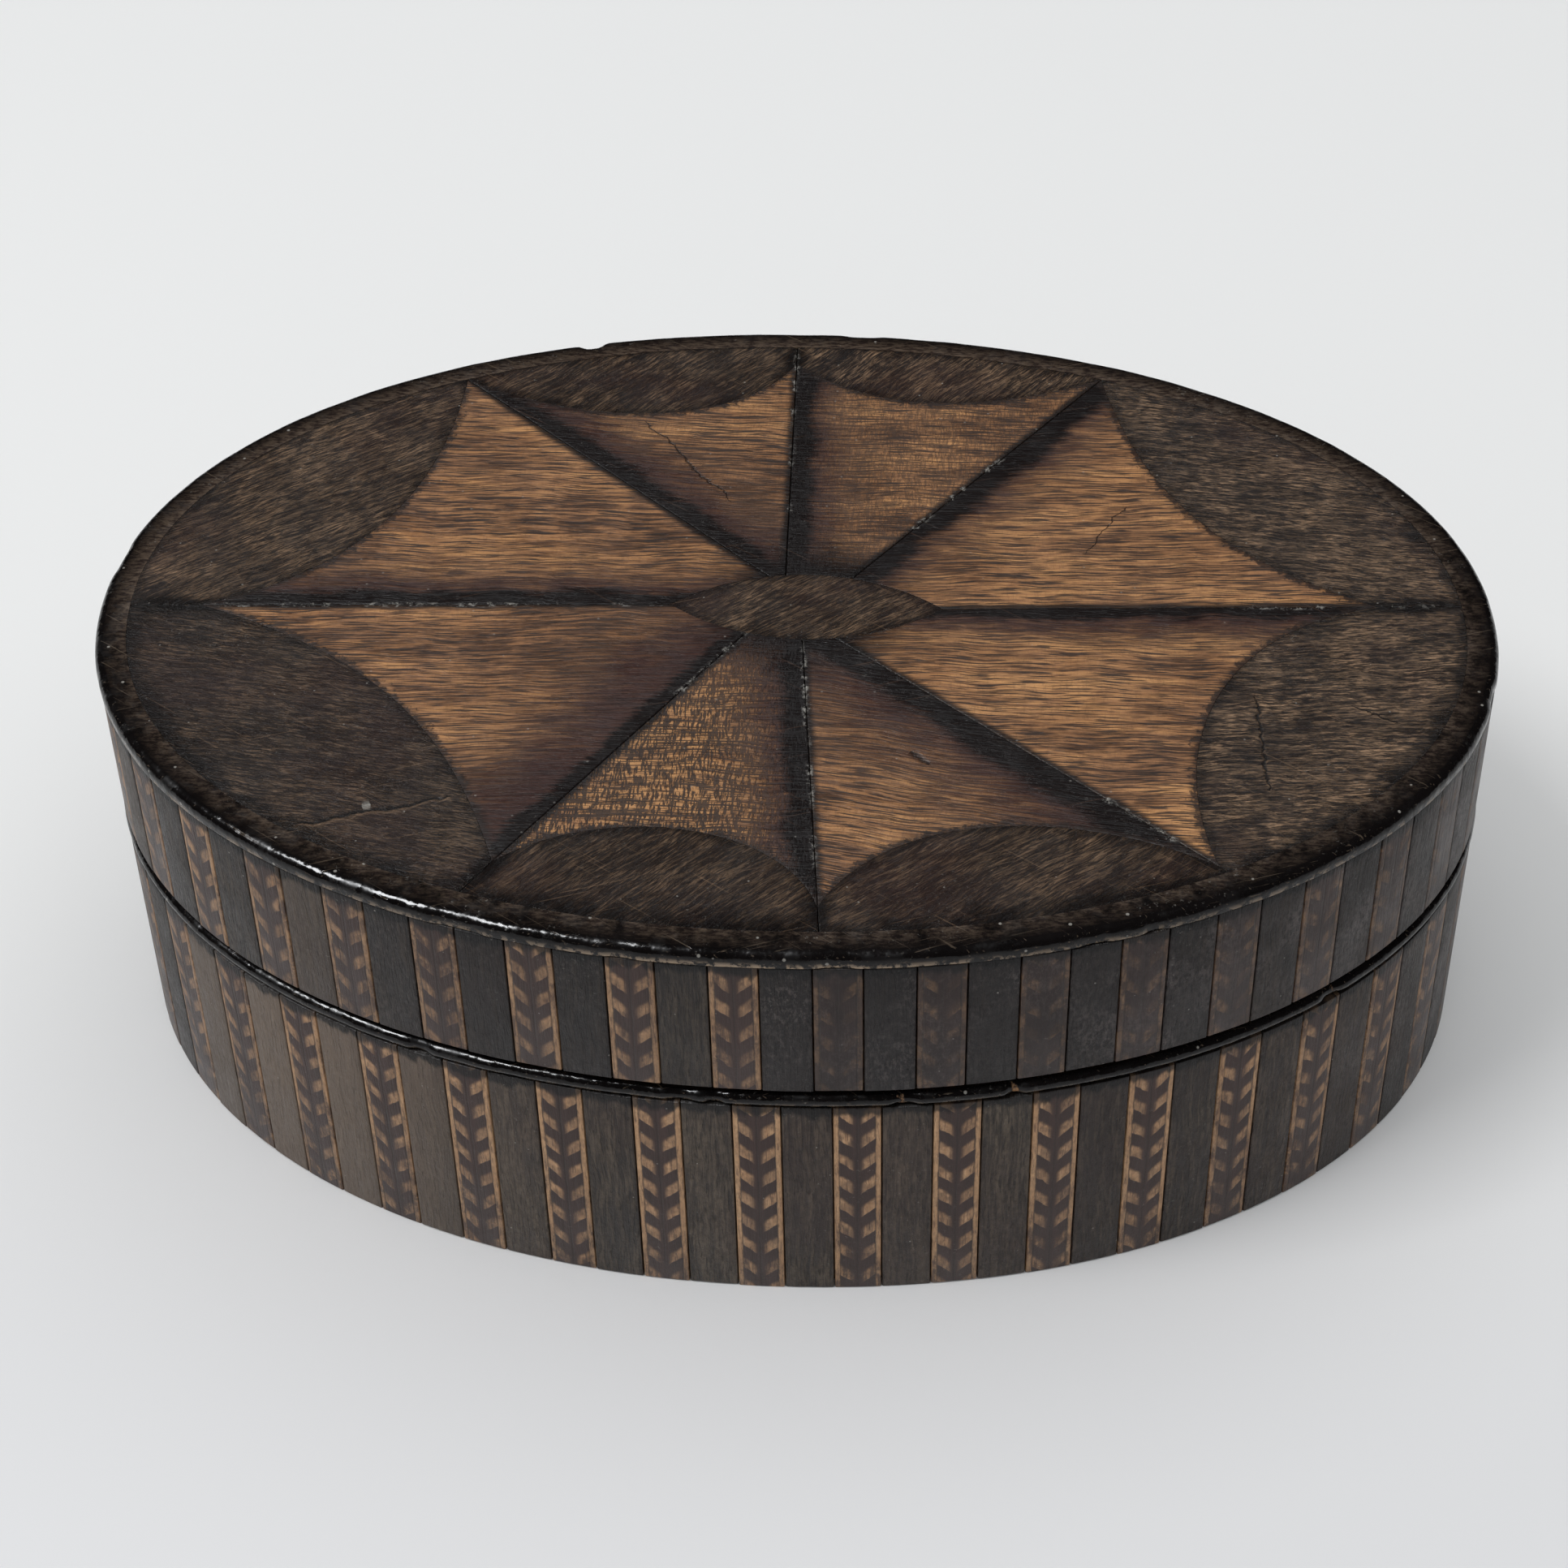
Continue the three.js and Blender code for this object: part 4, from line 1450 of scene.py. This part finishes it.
class MakeInlay(bpy.types.Operator):
    """Cuts the fans, the rim lenses and the pointed centre oval of the top"""

    bl_idname = "oval_box.inlay"
    bl_label = "Inlaid Top"

    def execute(self, context):
        self.inlay = context.scene.inlay_sizes
        self.cut = Inlay(context.scene.box_sizes, self.inlay)
        for i, sector in enumerate(SECTORS):
            self.fan(i, sector)
            self.lens(i, sector)
        self.centre()
        return {"FINISHED"}

    def panel(self, name, node, curves, kind, seed, grain, values):
        """Cuts one panel of a kind of wood, and gives its points the values that the wood reads.

        A value is one number for the whole panel, or a function of the points.
        """
        low, high = heights(node)
        points, faces = ruled_panel(*curves, self.inlay, low, high, seed)
        values["panel"] = float(seed)
        values["grain_turn"] = -radians(grain)
        values["centre"] = lambda p: np.linalg.norm(p[:, :2] - self.cut.centre, axis=1) / MM
        for label, value in values.items():
            values[label] = value(points) if callable(value) else np.full(len(points), value)
        make_piece(name, points, faces, f"{kind}_veneer", "lid", [node], values)

    def fan(self, i, sector):
        """The fan of a sector. Its sand shading lies along the joint with the next sector."""
        curves = self.cut.fan_curves(i)
        values = {
            "scorch": lambda p: self.from_joint(p, after(i)),
            "joint": lambda p: self.from_joint(p, i),
            "arc": lambda p: distance_to(p, curves[1]),
        }
        for label in ("shading", "black", "crossed", "smoked", "tone"):
            values[label] = getattr(sector, label)
        node = f"fan_{sector.place}"
        self.panel(f"fan_panel_{sector.place}", node, curves, "fan", i + 1, sector.fan_grain, values)

    def lens(self, i, sector):
        """The rim lens of a sector."""
        curves = self.cut.lens_curves(i)
        values = {
            "joint": lambda p: np.minimum(self.from_joint(p, i), self.from_joint(p, after(i))),
            "arc": lambda p: distance_to(p, curves[0]),
            "rim": lambda p: distance_to(p, curves[1]),
            "tone": sector.lens_tone,
        }
        node = f"rim_lens_{sector.place}"
        self.panel(f"lens_panel_{sector.place}", node, curves, "lens", i + 11, sector.lens_grain, values)

    def centre(self):
        """The pointed centre oval, which no joint or edging darkens."""
        curves = self.cut.oval_curves()
        outline = np.concatenate([curves[0], curves[1][::-1]])
        values = {"arc": lambda p: distance_to(p, outline), "rim": FAR, "joint": FAR, "tone": 0.4}
        self.panel("centre_panel", "centre_oval", curves, "centre", 30, 38, values)

    def from_joint(self, points, i):
        """Distance of each point to a radial joint, in millimetres."""
        return distance_to_line(points, self.cut.starts[i], self.cut.ends[i])


class MakeStudio(bpy.types.Operator):
    """Lays the floor, hangs the soft lights and sets up the camera"""

    bl_idname = "oval_box.studio"
    bl_label = "Studio"

    def execute(self, context):
        self.studio = context.scene.studio_settings
        self.lay_floor()
        lights = {name: self.light(name, *light) for name, light in LIGHTS.items()}
        lights["ceiling"].visible_glossy = False
        lights["glint"].visible_diffuse = False
        self.light_sky()
        self.place_camera()
        context.scene.view_settings.view_transform = "Standard"
        return {"FINISHED"}

    def lay_floor(self):
        """A flat square grid."""
        half = self.studio.floor_size / 2
        steps = np.linspace(-half, half, FLOOR_STEPS)
        x, y = np.meshgrid(steps, steps)
        points = np.stack([x, y, 0 * x], -1).reshape(-1, 3)
        mesh = bpy.data.meshes.new("floor")
        mesh.from_pydata(points, [], grid_faces(FLOOR_STEPS, FLOOR_STEPS).tolist())
        floor_paper(self.studio)
        mesh.materials.append(bpy.data.materials["pale_floor"])
        floor = bpy.data.objects.new("floor", mesh)
        bpy.context.scene.collection.objects.link(floor)

    def light(self, name, place, side, tint):
        """A soft square light at a place, which faces the middle of the box."""
        lamp = bpy.data.lights.new(name, "AREA")
        lamp.shape = "RECTANGLE"
        lamp.size = lamp.size_y = side
        lamp.energy = getattr(self.studio, name)
        lamp.color = tint
        holder = bpy.data.objects.new(name, lamp)
        holder.location = place
        holder.rotation_euler = (-Vector(place)).to_track_quat("-Z", "Y").to_euler()
        bpy.context.scene.collection.objects.link(holder)
        return holder

    def light_sky(self):
        """An even light from all round that no polish mirrors."""
        world = bpy.data.worlds.new("sky")
        world.use_nodes = True
        background = world.node_tree.nodes["Background"]
        background.inputs["Color"].default_value = opaque(SKY_TINT)
        background.inputs["Strength"].default_value = self.studio.sky
        world.cycles_visibility.glossy = False
        bpy.context.scene.world = world

    def place_camera(self):
        """The camera looks from eye to aim, turned by roll about its own axis."""
        eye = Vector(self.studio.eye)
        back = (eye - Vector(self.studio.aim)).normalized()
        right = Vector((0, 0, 1)).cross(back).normalized()
        up = back.cross(right)
        turned = Matrix((right, up, back)).transposed() @ Matrix.Rotation(self.studio.roll, 3, "Z")
        camera = bpy.data.cameras.new("camera")
        camera.lens = self.studio.lens / MM
        camera.sensor_width = SENSOR_WIDTH
        camera.clip_start = 1 * MM
        holder = bpy.data.objects.new("camera", camera)
        holder.matrix_world = Matrix.Translation(eye) @ turned.to_4x4()
        bpy.context.scene.collection.objects.link(holder)
        bpy.context.scene.camera = holder


OPERATORS = [MakeWoods, MakeCarcass, MakeStripes, MakeEdgings, MakeInlay, MakeStudio]
GROUPS = {
    "box_sizes": BoxSizes,
    "inlay_sizes": InlaySizes,
    "wear_amounts": WearAmounts,
    "wood_colours": WoodColours,
    "studio_settings": StudioSettings,
}


class OvalBoxPanel(bpy.types.Panel):
    """Lists the box's steps and settings in the 3D view's sidebar"""

    bl_idname = "VIEW3D_PT_oval_box"
    bl_label = "Oval Box"
    bl_space_type = "VIEW_3D"
    bl_region_type = "UI"
    bl_category = "Oval Box"

    def draw(self, context):
        for operator in OPERATORS:
            self.layout.operator(operator.bl_idname)
        for label, group in GROUPS.items():
            section = self.layout.box()
            section.label(text=titled(label))
            for setting in group.__annotations__:
                section.prop(getattr(context.scene, label), setting)


def register():
    """Adds the settings, the steps and their panel."""
    for made in (*GROUPS.values(), *OPERATORS, OvalBoxPanel):
        bpy.utils.register_class(made)
    for label, group in GROUPS.items():
        setattr(bpy.types.Scene, label, PointerProperty(type=group))


def unregister():
    """Takes them away again."""
    for label in GROUPS:
        delattr(bpy.types.Scene, label)
    for made in reversed((*GROUPS.values(), *OPERATORS, OvalBoxPanel)):
        bpy.utils.unregister_class(made)


def main():
    """Makes the whole scene."""
    register()
    bpy.ops.oval_box.studio()
    bpy.ops.oval_box.woods()
    bpy.ops.oval_box.carcass()
    bpy.ops.oval_box.stripes()
    bpy.ops.oval_box.edgings()
    bpy.ops.oval_box.inlay()


if __name__ == "__main__":
    main()
